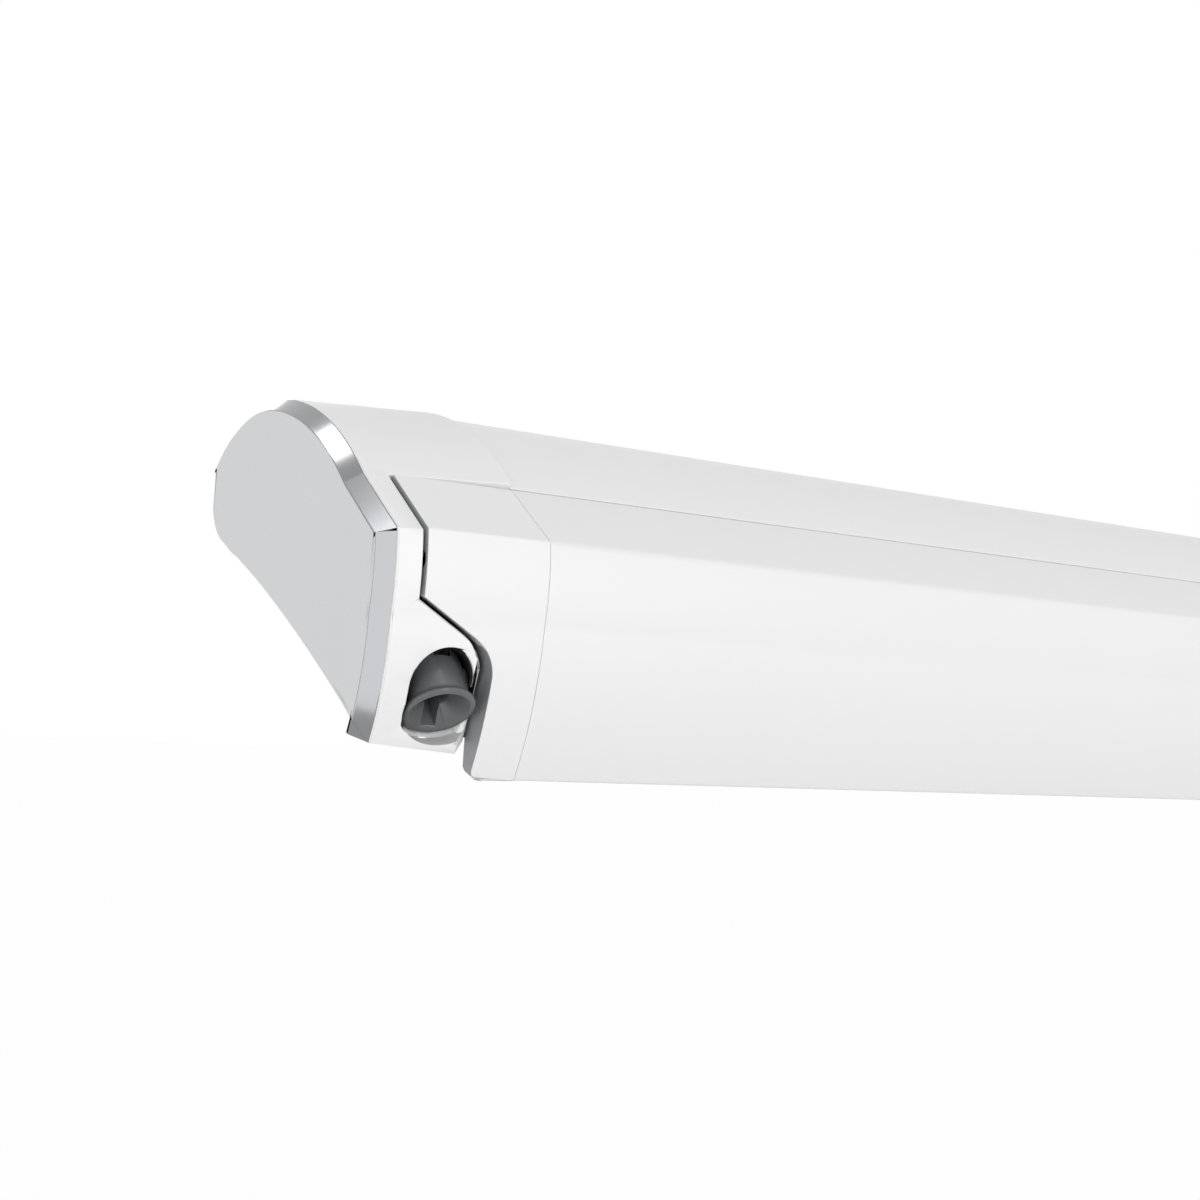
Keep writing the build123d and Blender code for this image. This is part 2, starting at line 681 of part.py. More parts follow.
def elbow_fork():
    """The cast fork at the upper arm's elbow end."""
    end_x = ELBOW_X - FORK_BACK
    block = rect(end_x, ELBOW_X - FORK_ROOT, -ARM_WIDTH / 2, ARM_WIDTH / 2)
    ear = spanned(disc(ELBOW_X, -ARM_LAYER / 2, KNUCKLE_RADIUS), block)
    ear_in = KNUCKLE_HALF + EAR_GAP
    fork = slab(block, -ARM_HALF, ARM_HALF)
    fork += slab(ear, ear_in, ARM_HALF) + slab(ear, -ARM_HALF, -ear_in)
    fork += along_arm(
        beam_shape(ARM_WALL + PLUG_CLEARANCE), end_x - PLUG_LENGTH, end_x, 0
    )
    return fork - slab(disc(ELBOW_X, -ARM_LAYER / 2, PIN_RADIUS), -ARM_HALF, ARM_HALF)


def pin(x, y, low_head, high_head):
    """A hinge pin square to the arm's plane, with a head at either end or both."""
    body = slab(disc(x, y, PIN_RADIUS), -ARM_HALF, ARM_HALF)
    if low_head:
        body += slab(disc(x, y, PIN_HEAD_RADIUS), -ARM_HALF - PIN_HEAD, -ARM_HALF)
    if high_head:
        body += slab(disc(x, y, PIN_HEAD_RADIUS), ARM_HALF, ARM_HALF + PIN_HEAD)
    return body


def arm_spring():
    """The tension spring and its cable inside the forearm."""
    start = NECK_LENGTH + PLUG_LENGTH
    end = ELBOW_X - FORK_BACK - PLUG_LENGTH
    spring = along_arm(Circle(SPRING_RADIUS), start, start + SPRING_LENGTH, -ARM_LAYER)
    cable = Circle(SPRING_CABLE_RADIUS)
    return spring + along_arm(cable, start + SPRING_LENGTH, end, -ARM_LAYER)


def inside_case(start, end):
    """The room inside the case between two places along X."""
    return run(case_face(-CASE_WALL), start, end)


def shoulder_bracket():
    """The left shoulder bracket: two ears, a web and a foot that lies on the case's floor."""
    web = rect(-WEB_FAR, -WEB_NEAR, -WEB_HALF, WEB_HALF)
    ear = spanned(disc(0, 0, KNUCKLE_RADIUS), web)
    ear_in = KNUCKLE_HALF + EAR_GAP
    body = slab(ear, ear_in, ARM_HALF) + slab(ear, -ARM_HALF, -ear_in)
    body += slab(web, -ARM_HALF, ARM_HALF)
    foot = slab(rect(-BASE_OUT, BASE_IN, -BASE_FRONT, BASE_REAR), -ARM_HALF - BASE_DEEP, -ARM_HALF)
    body += foot & inside_case(-SEAM_X, 0)
    for x, y in bracket_bolt_places():
        body -= slab(disc(x, y, BRACKET_BOLT_RADIUS), -ARM_HALF - BASE_DEEP, -ARM_HALF)
    return body - slab(disc(0, 0, PIN_RADIUS), -ARM_HALF, ARM_HALF)


def bracket_bolt_places():
    """Where the shoulder bracket's bolts stand in the arm's plane."""
    y = BASE_REAR - BRACKET_BOLT_INSET
    return ((-BASE_OUT + BRACKET_BOLT_INSET, y), (BASE_IN - BRACKET_BOLT_INSET, y))


def bracket_bolts():
    """The bolts through the left shoulder bracket's foot."""
    bolts = []
    for x, y in bracket_bolt_places():
        shank = slab(disc(x, y, BRACKET_BOLT_RADIUS), -ARM_HALF - BASE_DEEP, -ARM_HALF)
        head = Pos(x, y) * RegularPolygon(BRACKET_BOLT_HEAD_RADIUS, 6)
        head = slab(head, -ARM_HALF, -ARM_HALF + BRACKET_BOLT_HEAD)
        bolts.append((shank & inside_case(-SEAM_X, 0)) + head)
    return bolts


def behind_rail(back):
    """Everything behind a vertical plane at a distance behind the crease."""
    return run(band(back, CASE_DEPTH, -CASE_HEIGHT, CASE_HEIGHT), -SEAM_X, 0)


def wrist_bracket():
    """The left wrist bracket: ears and a web on a plate behind the lead rail."""
    y = -ARM_LAYER
    web = rect(-WEB_FAR, -WEB_NEAR, y - WEB_HALF - ARM_WIDTH, y + WEB_HALF)
    ear = spanned(disc(0, y, KNUCKLE_RADIUS), rect(-WEB_FAR, -WEB_NEAR, y - WEB_HALF, y + WEB_HALF))
    ear_in = KNUCKLE_HALF + EAR_GAP
    body = slab(ear, ear_in, ARM_HALF) + slab(ear, -ARM_HALF, -ear_in)
    body += slab(web, -ARM_HALF, ARM_HALF)
    up = SHOULDER_UP - ARM_LAYER * TILT_SIN
    plate = band(RAIL_BACK, RAIL_BACK + WRIST_PLATE, up - WRIST_PLATE_HALF, up + WRIST_PLATE_HALF)
    body += run(plate, -ARM_PIVOT_X - WRIST_PLATE_OUT, -ARM_PIVOT_X - WEB_NEAR)
    body -= slab(disc(0, y, PIN_RADIUS), -ARM_HALF, ARM_HALF)
    return body & behind_rail(RAIL_BACK)


def wrist_screws():
    """The screws that hold the left wrist bracket's plate to the lead rail."""
    x = -ARM_PIVOT_X - WRIST_PLATE_OUT + WRIST_SCREW_INSET
    up = SHOULDER_UP - ARM_LAYER * TILT_SIN
    screws = []
    for side in (-1, 1):
        y, z = spot(RAIL_BACK + WRIST_PLATE, up + side * WRIST_SCREW_INSET)
        face = Plane(origin=(x, y, z), x_dir=(1, 0, 0), z_dir=(0, 1, 0))
        screws.append(extrude(face * Circle(SCREW_HEAD_RADIUS), amount=SCREW_HEAD))
    return screws


def roller_tube():
    """The roller tube."""
    tube = ring(ROLLER_BACK, ROLLER_UP, TUBE_RADIUS) - ring(
        ROLLER_BACK, ROLLER_UP, TUBE_RADIUS - TUBE_WALL
    )
    return run(tube, -TUBE_LENGTH / 2, TUBE_LENGTH / 2)


def roller_plug():
    """The left plug of the roller tube with its spindle."""
    end = -TUBE_LENGTH / 2
    body = run(ring(ROLLER_BACK, ROLLER_UP, TUBE_RADIUS - TUBE_WALL), end, end + PLUG_DEPTH)
    flange = run(ring(ROLLER_BACK, ROLLER_UP, TUBE_RADIUS), end - BUSH_FLANGE, end)
    spindle_end = -CAP_FACE_X + CAP_WALL + BUSH_FLANGE
    return body + flange + run(ring(ROLLER_BACK, ROLLER_UP, SPINDLE_RADIUS), spindle_end, end)


def bearing_plate():
    """The left plate inside the case's end that carries the roller's bush."""
    face = case_face(-CASE_WALL) & band(BEARING_PLATE_BACK, CASE_DEPTH - REAR_WALL, 0, CASE_HEIGHT)
    for back, up in case_ports():
        face -= ring(back, up, SCREW_RADIUS + PORT_WALL)
    face -= ring(ROLLER_BACK, ROLLER_UP, BUSH_RADIUS)
    return run(face, -SEAM_X, -SEAM_X + BEARING_PLATE)


def roller_bush():
    """The left flanged bush in its plate."""
    body = run(ring(ROLLER_BACK, ROLLER_UP, BUSH_RADIUS), -SEAM_X, -SEAM_X + BEARING_PLATE)
    body += run(
        ring(ROLLER_BACK, ROLLER_UP, BUSH_FLANGE_RADIUS),
        -SEAM_X + BEARING_PLATE,
        -SEAM_X + BEARING_PLATE + BUSH_FLANGE,
    )
    bore = ring(ROLLER_BACK, ROLLER_UP, SPINDLE_RADIUS + SPINDLE_CLEARANCE)
    return body - run(bore, -SEAM_X, 0)


def fabric_roll():
    """The fabric wound on the roller, plain."""
    face = ring(ROLLER_BACK, ROLLER_UP, ROLL_RADIUS) - ring(ROLLER_BACK, ROLLER_UP, TUBE_RADIUS)
    return run(face, -FABRIC_WIDTH / 2, FABRIC_WIDTH / 2)


def fabric_lead():
    """The fabric next to its bead in the lead rail, cut short so that it clears the case's lip."""
    bead = Vector(*spot(KEDER_BACK, KEDER_UP))
    centre = Vector(*spot(ROLLER_BACK, ROLLER_UP))
    radius = ROLL_RADIUS + ROLL_CLEARANCE
    reach = (centre - bead).length
    lift = math.degrees(math.asin(radius / reach) + math.atan2(centre.Y - bead.Y, centre.X - bead.X))
    length = min(math.sqrt(reach**2 - radius**2), STRIP_REACH)
    strip = Pos(bead.X, bead.Y) * Rot(0, 0, lift) * Pos(length / 2, FABRIC_THICKNESS / 2)
    face = strip * Rectangle(length, FABRIC_THICKNESS) + Pos(bead.X, bead.Y) * Circle(BEAD_RADIUS)
    return run(face, -FABRIC_WIDTH / 2, FABRIC_WIDTH / 2)


def wheel_spot():
    """The (back, up) of the idler shaft that carries the worm wheel and the pinion."""
    c, s = math.cos(math.radians(BELL_TILT)), math.sin(math.radians(BELL_TILT))
    back = BELL_BACK + WORM_AT * c + WORM_TO_WHEEL * s
    return (back, BELL_UP + WORM_AT * s - WORM_TO_WHEEL * c)


def gear_distance():
    """Distance from the idler shaft to the roller's axis."""
    back, up = wheel_spot()
    return math.hypot(ROLLER_BACK - back, ROLLER_UP - up)


def gear_module():
    """The size of the spur gears' teeth."""
    return 2 * gear_distance() / (PINION_TEETH + ROLLER_GEAR_TEETH)


def gear_face(teeth, turn):
    """A spur gear in section, its first tooth at turn degrees."""
    module = gear_module()
    pitch = module * teeth / 2
    tip = pitch + module * TOOTH_HEIGHT_SHARE
    root = pitch - module * TOOTH_DEPTH_SHARE
    step = 2 * math.pi / teeth
    face = Circle(root)
    halves = [
        (root - module / 2, TOOTH_ROOT_SHARE / 2),
        (pitch, TOOTH_WIDTH_SHARE / 2),
        (tip, TOOTH_TIP_SHARE / 2),
    ]
    for number in range(teeth):
        at = math.radians(turn) + number * step
        rising = [(r, at - share * step * pitch / r) for r, share in halves]
        falling = [(r, at + share * step * pitch / r) for r, share in reversed(halves)]
        tooth = [(r * math.cos(a), r * math.sin(a)) for r, a in rising + falling]
        face += make_face(Polyline(*tooth, close=True))
    return face


def gear(teeth, back, up, turn):
    """A spur gear on a shaft along X."""
    start = -CAP_FACE_X + GEAR_IN
    return run(Pos(*spot(back, up)) * gear_face(teeth, turn), start, start + GEAR_WIDTH)


def roller_gear():
    """The large gear on the roller's left spindle, a tooth gap facing the pinion."""
    back, up = wheel_spot()
    towards = math.degrees(math.atan2(up - ROLLER_UP, back - ROLLER_BACK))
    turn = towards + 180 / ROLLER_GEAR_TEETH
    wheel = gear(ROLLER_GEAR_TEETH, ROLLER_BACK, ROLLER_UP, turn)
    bore = ring(ROLLER_BACK, ROLLER_UP, SPINDLE_RADIUS)
    return wheel - run(bore, -CAP_FACE_X, -SEAM_X)


def idler_pinion():
    """The small gear on the idler shaft, a tooth facing the roller's gear."""
    back, up = wheel_spot()
    turn = math.degrees(math.atan2(ROLLER_UP - up, ROLLER_BACK - back))
    wheel = gear(PINION_TEETH, back, up, turn)
    return wheel - run(ring(back, up, IDLER_RADIUS), -CAP_FACE_X, -SEAM_X)


def worm_wheel():
    """The worm wheel with its shaft."""
    back, up = wheel_spot()
    radius = WORM_TO_WHEEL - WORM_RADIUS - GEAR_CLEARANCE
    middle = -CAP_FACE_X + BELL_IN
    wheel = run(ring(back, up, radius), middle - WHEEL_WIDTH / 2, middle + WHEEL_WIDTH / 2)
    start = -CAP_FACE_X + CAP_WALL + HOUSING_WALL / 2
    end = -CAP_FACE_X + GEAR_IN + GEAR_WIDTH
    return wheel + run(ring(back, up, IDLER_RADIUS), start, end)


def crank_bell():
    """The bell that the crank hooks into: a flared mouth, a cone, a bore, a slot and two pairs of windows."""
    rim = BELL_RIM / 2
    body = extrude(bell_plane(rim) * Circle(BELL_BODY_RADIUS), amount=BELL_BODY_LENGTH - rim)
    flare = extrude(bell_plane() * Circle(BELL_RIM_RADIUS), amount=BELL_RIM)
    flare = fillet(flare.edges().filter_by(GeomType.CIRCLE), rim * 2 / 3)
    throat = loft(
        [
            bell_plane(BELL_RIM) * Circle(BELL_RIM_RADIUS - rim),
            bell_plane(BELL_RIM + BELL_SHOULDER) * Circle(BELL_BODY_RADIUS),
        ]
    )
    bell = body + flare + throat
    mouth = [
        bell_plane() * Circle(BELL_MOUTH_RADIUS),
        bell_plane(BELL_CONE_DEPTH) * Circle(BELL_BORE_RADIUS),
    ]
    bell -= loft(mouth)
    bell -= extrude(bell_plane() * Circle(BELL_BORE_RADIUS), amount=BELL_BORE_DEPTH)
    slot = Rectangle(BELL_SLOT, (BELL_BODY_RADIUS - BELL_WALL) * 2)
    bell -= extrude(bell_plane(BELL_SLOT_AT) * slot, amount=BELL_SLOT_DEPTH)
    across, upwards = BELL_WINDOWS_AT
    long = BELL_RIM_RADIUS * 2
    bell -= extrude(bell_plane(across) * Rectangle(long, BELL_WINDOW), amount=BELL_WINDOW)
    bell -= extrude(bell_plane(upwards) * Rectangle(BELL_WINDOW, long), amount=BELL_WINDOW)
    shaft_end = WORM_AT - WORM_LENGTH / 2
    shoulder = loft(
        [
            bell_plane(BELL_BODY_LENGTH) * Circle(BELL_BODY_RADIUS),
            bell_plane(BELL_BODY_LENGTH + BELL_SHOULDER) * Circle(SHAFT_RADIUS),
        ]
    )
    shaft = extrude(bell_plane(BELL_BODY_LENGTH) * Circle(SHAFT_RADIUS), amount=shaft_end - BELL_BODY_LENGTH)
    return bell + shoulder + shaft


def worm_shaft():
    """The worm on the end of the bell's shaft, with its journal."""
    start = WORM_AT - WORM_LENGTH / 2
    worm = extrude(bell_plane(start) * Circle(WORM_RADIUS), amount=WORM_LENGTH)
    journal_end = HOUSING_END - HOUSING_WALL / 2
    journal = bell_plane(start + WORM_LENGTH) * Circle(SHAFT_RADIUS)
    return worm + extrude(journal, amount=journal_end - start - WORM_LENGTH)


def housing_block(shrink, start_x, end_x):
    """The gearbox's outer block or its inside, set along the worm."""
    plane = bell_plane(HOUSING_START + shrink)
    length = HOUSING_END - HOUSING_START - shrink * 2
    width = HOUSING_FRONT + HOUSING_REAR - shrink * 2
    shift = (HOUSING_REAR - HOUSING_FRONT) / 2
    x_mid = (start_x + end_x) / 2 - BELL_IN
    return extrude(plane * Pos(x_mid, shift) * Rectangle(end_x - start_x, width), amount=length)


def gearbox_housing():
    """The left gearbox housing, open towards its cover."""
    outer = housing_block(0, CAP_WALL, HOUSING_END_IN - HOUSING_WALL)
    body = outer - housing_block(HOUSING_WALL, CAP_WALL + HOUSING_WALL, HOUSING_END_IN)
    entry = bell_plane(HOUSING_START) * Circle(SHAFT_RADIUS + PIN_CLEARANCE)
    body -= extrude(entry, amount=HOUSING_END - HOUSING_WALL / 2 - HOUSING_START)
    idler = ring(*wheel_spot(), IDLER_RADIUS + PIN_CLEARANCE)
    return body - run(idler, -CAP_FACE_X + CAP_WALL + HOUSING_WALL / 2, -SEAM_X)


def gearbox_cover():
    """The gearbox's flat cover."""
    cover = housing_block(0, HOUSING_END_IN - HOUSING_WALL, HOUSING_END_IN)
    idler = ring(*wheel_spot(), IDLER_RADIUS + PIN_CLEARANCE)
    return cover - run(idler, -CAP_FACE_X, -SEAM_X)


def leg_face(up, width, height, shrink=0.0):
    """A leg tube in section, at its own height in the lead rail."""
    shape = RectangleRounded(width - shrink * 2, height - shrink * 2, max(LEG_ROUND - shrink, LEG_ROUND / 4))
    return Pos(*spot(LEG_BACK, up)) * shape


def across_leg(x, up, radius, width):
    """A round bar across a leg."""
    y, z = spot(LEG_BACK, up)
    face = Plane(origin=(x, y, z), x_dir=(1, 0, 0), z_dir=(0, 1, 0))
    return extrude(face * Circle(radius), amount=width / 2, both=True)


def leg_tube(up):
    """A leg's outer tube with its rounded hinge end."""
    pivot = -LEG_PIVOT_X
    end = pivot + LEG_LENGTH
    tube = run(leg_face(up, LEG_WIDTH, LEG_HEIGHT), pivot, end)
    bore = run(leg_face(up, LEG_WIDTH, LEG_HEIGHT, LEG_WALL), pivot + LEG_HEIGHT, end)
    eye = across_leg(pivot, up, LEG_HEIGHT / 2, LEG_WIDTH)
    body = tube + eye - bore
    return body - across_leg(pivot, up, LEG_PIN_RADIUS + PIN_CLEARANCE, COLLAR_WIDTH)


def lever_low(up):
    """Height of the clamp lever's hinge under a leg."""
    return up - COLLAR_HEIGHT / 2 - LEVER_DROP


def leg_collar(up):
    """The clamp collar at a leg's mouth, with ears for its lever."""
    end = -LEG_PIVOT_X + LEG_LENGTH
    start = end - COLLAR_LENGTH + COLLAR_PROUD
    collar = run(leg_face(up, COLLAR_WIDTH, COLLAR_HEIGHT), start, end + COLLAR_PROUD)
    collar -= run(leg_face(up, LEG_WIDTH, LEG_HEIGHT), start, end)
    low = lever_low(up)
    for side in (-1, 1):
        backs = sorted((LEG_BACK + side * (LEVER_WIDTH / 2 + LEG_CHEEK_GAP), LEG_BACK + side * COLLAR_WIDTH / 2))
        ear = band(*backs, low - LEVER_EAR, up - COLLAR_HEIGHT / 2 + COLLAR_PROUD / 4)
        collar += run(ear, start, start + LEVER_DROP * 2)
    collar -= run(leg_face(up, LEG_WIDTH, LEG_HEIGHT, LEG_WALL), start, end + COLLAR_PROUD)
    return collar + across_leg(start + LEVER_DROP, low, LEVER_PIN_RADIUS, COLLAR_WIDTH)


def leg_lever(up):
    """A leg's clamp lever, folded back along the tube."""
    start = -LEG_PIVOT_X + LEG_LENGTH - COLLAR_LENGTH + COLLAR_PROUD
    pin_x = start + LEVER_DROP
    low = lever_low(up)
    backs = (LEG_BACK - LEVER_WIDTH / 2, LEG_BACK + LEVER_WIDTH / 2)
    blade = band(*backs, low - LEVER_THICKNESS / 2, low + LEVER_THICKNESS / 2)
    lever = run(blade, pin_x - LEVER_LENGTH, pin_x)
    lever += across_leg(pin_x, low, LEVER_KNUCKLE_RADIUS, LEVER_WIDTH)
    return lever - across_leg(pin_x, low, LEVER_PIN_RADIUS + PIN_CLEARANCE, COLLAR_WIDTH)


def foot_x():
    """Where a leg's foot is hinged."""
    return -LEG_PIVOT_X + LEG_LENGTH + COLLAR_PROUD + LEG_INNER_PROUD


def leg_inner_tube(up):
    """A leg's inner tube with the two tabs of its foot hinge."""
    shrink = LEG_WALL + LEG_INNER_CLEARANCE
    end = foot_x() - FOOT_TAB
    start = end - LEG_INNER_LENGTH
    tube = run(leg_face(up, LEG_WIDTH, LEG_HEIGHT, shrink), start, end)
    tube -= run(leg_face(up, LEG_WIDTH, LEG_HEIGHT, shrink + LEG_WALL), start, end - FOOT_TAB)
    half = LEG_WIDTH / 2 - shrink
    tab = band(LEG_BACK - half, LEG_BACK + half, up - FOOT_TAB, up + FOOT_TAB)
    tube += run(tab, end, foot_x()) + across_leg(foot_x(), up, FOOT_TAB, half * 2)
    slot = band(LEG_BACK - half / 3, LEG_BACK + half / 3, up - LEG_HEIGHT, up + LEG_HEIGHT)
    tube -= run(slot, end, foot_x() + FOOT_TAB * 2)
    return tube + across_leg(foot_x(), up, FOOT_PIN_RADIUS, half * 2)


def leg_foot(up):
    """A leg's foot plate, stored in line with the leg."""
    half = LEG_WIDTH / 2 - LEG_WALL - LEG_INNER_CLEARANCE
    x = foot_x()
    start = x + FOOT_TAB + LEG_INNER_CLEARANCE
    low, high = up - FOOT_THICKNESS / 2, up + FOOT_THICKNESS / 2
    plate = band(LEG_BACK - FOOT_WIDTH / 2, LEG_BACK + FOOT_WIDTH / 2, low, high)
    foot = run(plate, start, start + FOOT_LENGTH)
    tongue_half = half / 3 - LEG_INNER_CLEARANCE
    foot += run(band(LEG_BACK - tongue_half, LEG_BACK + tongue_half, low, high), x, start)
    foot += across_leg(x, up, FOOT_TAB - LEG_INNER_CLEARANCE, tongue_half * 2)
    y, z = spot(LEG_BACK, up)
    hole = Pos(start + FOOT_LENGTH * 2 / 3, y, z) * Cylinder(FOOT_HOLE_RADIUS, FOOT_THICKNESS * 2)
    return foot - hole - across_leg(x, up, FOOT_PIN_RADIUS + PIN_CLEARANCE, LEG_WIDTH)


def leg_hinge(up):
    """A leg's hinge bracket under the lead rail's web, with its pin."""
    start, end = -LEG_PIVOT_X - LEG_CHEEK_HALF, -LEG_PIVOT_X + LEG_CHEEK_HALF
    inner = LEG_WIDTH / 2 + LEG_CHEEK_GAP
    top = band(LEG_BACK - inner, LEG_BACK + inner, RAIL_WEB_UP - LEG_CHEEK * 2, RAIL_WEB_UP)
    body = run(top, start, end)
    for side in (-1, 1):
        backs = sorted((LEG_BACK + side * inner, LEG_BACK + side * (inner + LEG_CHEEK)))
        body += run(band(*backs, up - LEG_CHEEK_LOW, RAIL_WEB_UP), start, end)
    return body + across_leg(-LEG_PIVOT_X, up, LEG_PIN_RADIUS, (inner + LEG_CHEEK) * 2)


def as_solids(shape):
    """The separate solids of a shape or a list of shapes."""
    shapes = shape if isinstance(shape, list) else [shape]
    return [solid for item in shapes for solid in item.solids()]


def save(name, shape):
    """Writes one node's solids to its own STEP file."""
    solids = as_solids(shape)
    export_step(solids[0] if len(solids) == 1 else Compound(children=solids), f"parts/{name}.step")


def both_sides(shape):
    """A left piece and its mirror image on the right."""
    left = as_solids(shape)
    return left, [mirror(solid, about=Plane.YZ) for solid in left]


def main():
    """Builds every node and writes it."""
    os.makedirs("parts", exist_ok=True)
    centred = {
        "cassette_profile": cassette_profile,
        "lead_rail_profile": lambda: run(rail_section(), -SEAM_X, SEAM_X),
        "roller_tube": roller_tube,
        "fabric_roll": fabric_roll,
        "fabric_lead": fabric_lead,
        "roller_gear": roller_gear,
        "worm_wheel": worm_wheel,
        "idler_pinion": idler_pinion,
        "crank_bell": crank_bell,
        "worm_shaft": worm_shaft,
        "gearbox_housing": gearbox_housing,
        "gearbox_cover": gearbox_cover,
    }
    paired = {
        "trim_plate": trim_plate,
        "lead_cap": lead_cap,
        "roller_plug": roller_plug,
        "shoulder_bracket": shoulder_bracket,
        "upper_arm": lambda: arm_beam(0),
        "upper_arm_knuckle": lambda: inner_knuckle(0, 0, NECK_LENGTH, 0),
        "elbow_fork": elbow_fork,
        "elbow_pin": lambda: pin(ELBOW_X, -ARM_LAYER / 2, True, True),
        "forearm": lambda: arm_beam(-ARM_LAYER),
        "forearm_elbow_end": lambda: inner_knuckle(
            ELBOW_X, -ARM_LAYER / 2, ELBOW_X - FORK_BACK, -ARM_LAYER
        ),
        "forearm_wrist_end": lambda: inner_knuckle(0, -ARM_LAYER, NECK_LENGTH, -ARM_LAYER),
        "arm_spring": arm_spring,
        "wrist_bracket": wrist_bracket,
    }
    grouped = {
        "bearing_plates": bearing_plate,
        "roller_bushes": roller_bush,
        "shoulder_pins": lambda: pin(0, 0, False, True),
        "end_cap_screws": end_cap_screws,
        "lead_cap_screws": lead_cap_screws,
        "shoulder_bracket_bolts": bracket_bolts,
        "wrist_pins": lambda: pin(0, -ARM_LAYER, True, True),
        "wrist_bracket_screws": wrist_screws,
    }
    legs = {
        "leg_tube": leg_tube,
        "leg_collar": leg_collar,
        "leg_inner_tube": leg_inner_tube,
        "leg_lever": leg_lever,
        "leg_foot": leg_foot,
    }
    for name, make in centred.items():
        save(name, make())
    for name, make in paired.items():
        left, right = both_sides(make())
        save(f"{name}_left", left)
        save(f"{name}_right", right)
    for name, make in grouped.items():
        left, right = both_sides(make())
        save(name, left + right)
    for name, make in legs.items():
        save(f"{name}_left", as_solids(make(LEG_UPS["left"])))
        save(f"{name}_right", both_sides(make(LEG_UPS["right"]))[1])
    save("leg_hinges", as_solids(leg_hinge(LEG_UPS["left"])) + both_sides(leg_hinge(LEG_UPS["right"]))[1])
    save("end_cap_left", end_cap(with_pocket=True))
    save("end_cap_right", both_sides(end_cap(with_pocket=False))[1])


if __name__ == "__main__":
    main()
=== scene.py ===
"""Roll out awning for a camper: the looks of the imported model, in metres, in the frame of its CAD.

Places in the cross-section are written as the maker draws them, in millimetres: back from the
front crease and up from the bottom of the end plate.
"""

from __future__ import annotations

import json
import logging
import math
from dataclasses import dataclass, field
from enum import Enum

import bmesh
import bpy
from mathutils import Matrix, Vector

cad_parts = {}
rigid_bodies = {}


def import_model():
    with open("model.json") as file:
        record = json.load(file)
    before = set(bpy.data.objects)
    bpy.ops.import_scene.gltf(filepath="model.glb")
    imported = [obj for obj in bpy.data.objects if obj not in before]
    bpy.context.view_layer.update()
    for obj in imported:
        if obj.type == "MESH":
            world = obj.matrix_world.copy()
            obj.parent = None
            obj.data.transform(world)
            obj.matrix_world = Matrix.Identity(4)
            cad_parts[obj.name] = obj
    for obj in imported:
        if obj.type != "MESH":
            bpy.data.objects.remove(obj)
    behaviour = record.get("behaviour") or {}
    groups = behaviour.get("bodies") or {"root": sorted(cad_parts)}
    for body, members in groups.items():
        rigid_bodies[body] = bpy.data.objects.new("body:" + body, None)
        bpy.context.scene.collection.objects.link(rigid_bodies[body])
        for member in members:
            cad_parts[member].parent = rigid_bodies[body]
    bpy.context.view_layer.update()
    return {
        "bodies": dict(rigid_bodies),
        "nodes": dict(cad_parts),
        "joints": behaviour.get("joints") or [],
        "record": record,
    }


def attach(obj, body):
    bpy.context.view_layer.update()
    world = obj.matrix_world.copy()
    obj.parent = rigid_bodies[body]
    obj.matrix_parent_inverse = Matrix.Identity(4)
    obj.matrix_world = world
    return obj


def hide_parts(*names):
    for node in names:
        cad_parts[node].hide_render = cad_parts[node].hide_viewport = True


log = logging.getLogger("awning")

Point = tuple[float, float]
Place = tuple[float, float, float]
Piece = bpy.types.Object
Tree = bpy.types.NodeTree
Socket = bpy.types.NodeSocket
MM = 0.001
CASE_DEPTH = 171.0
CASE_HEIGHT = 127.0
MOUNT_UP = 96.0
SIDES = {"left": -1.0, "right": 1.0}
# Half the length of both extrusions, and where the end caps' outer faces are, in metres
EXTRUSION_HALF = 1.239
END_FACE_X = 1.294
# Middle of the bell's mouth: X in metres, then back and up; and its axis's tilt from level, in degrees
BELL_MOUTH = (-1.2719, 8.53, 13.1)
BELL_TILT = 54.0
# Where the cloth's bead lies in the lead rail
BEAD = (32.6, 82.2)
# Points of drawn lines nearer than this are one, in millimetres, and so are mesh points, in metres
SAME_POINT = 1e-4
CAD_WELD = 0.002 * MM
WELD = 1e-6
# Turns a section drawn in X and Y and swept along Z into one that lies along the awning
ALONG_X = Matrix(((0, 0, 1, 0), (1, 0, 0, 0), (0, 1, 0, 0), (0, 0, 0, 1)))
# Half the seam between case and rail, along the slope, in millimetres
SEAM_HALF = 0.4


# ---------------------------------------------------------------- drawing sections


def place(back: float, up: float) -> Point:
    """Turns a (back, up) in millimetres into the frame's (Y, Z) in metres."""
    return ((back - CASE_DEPTH) * MM, (up - MOUNT_UP) * MM)


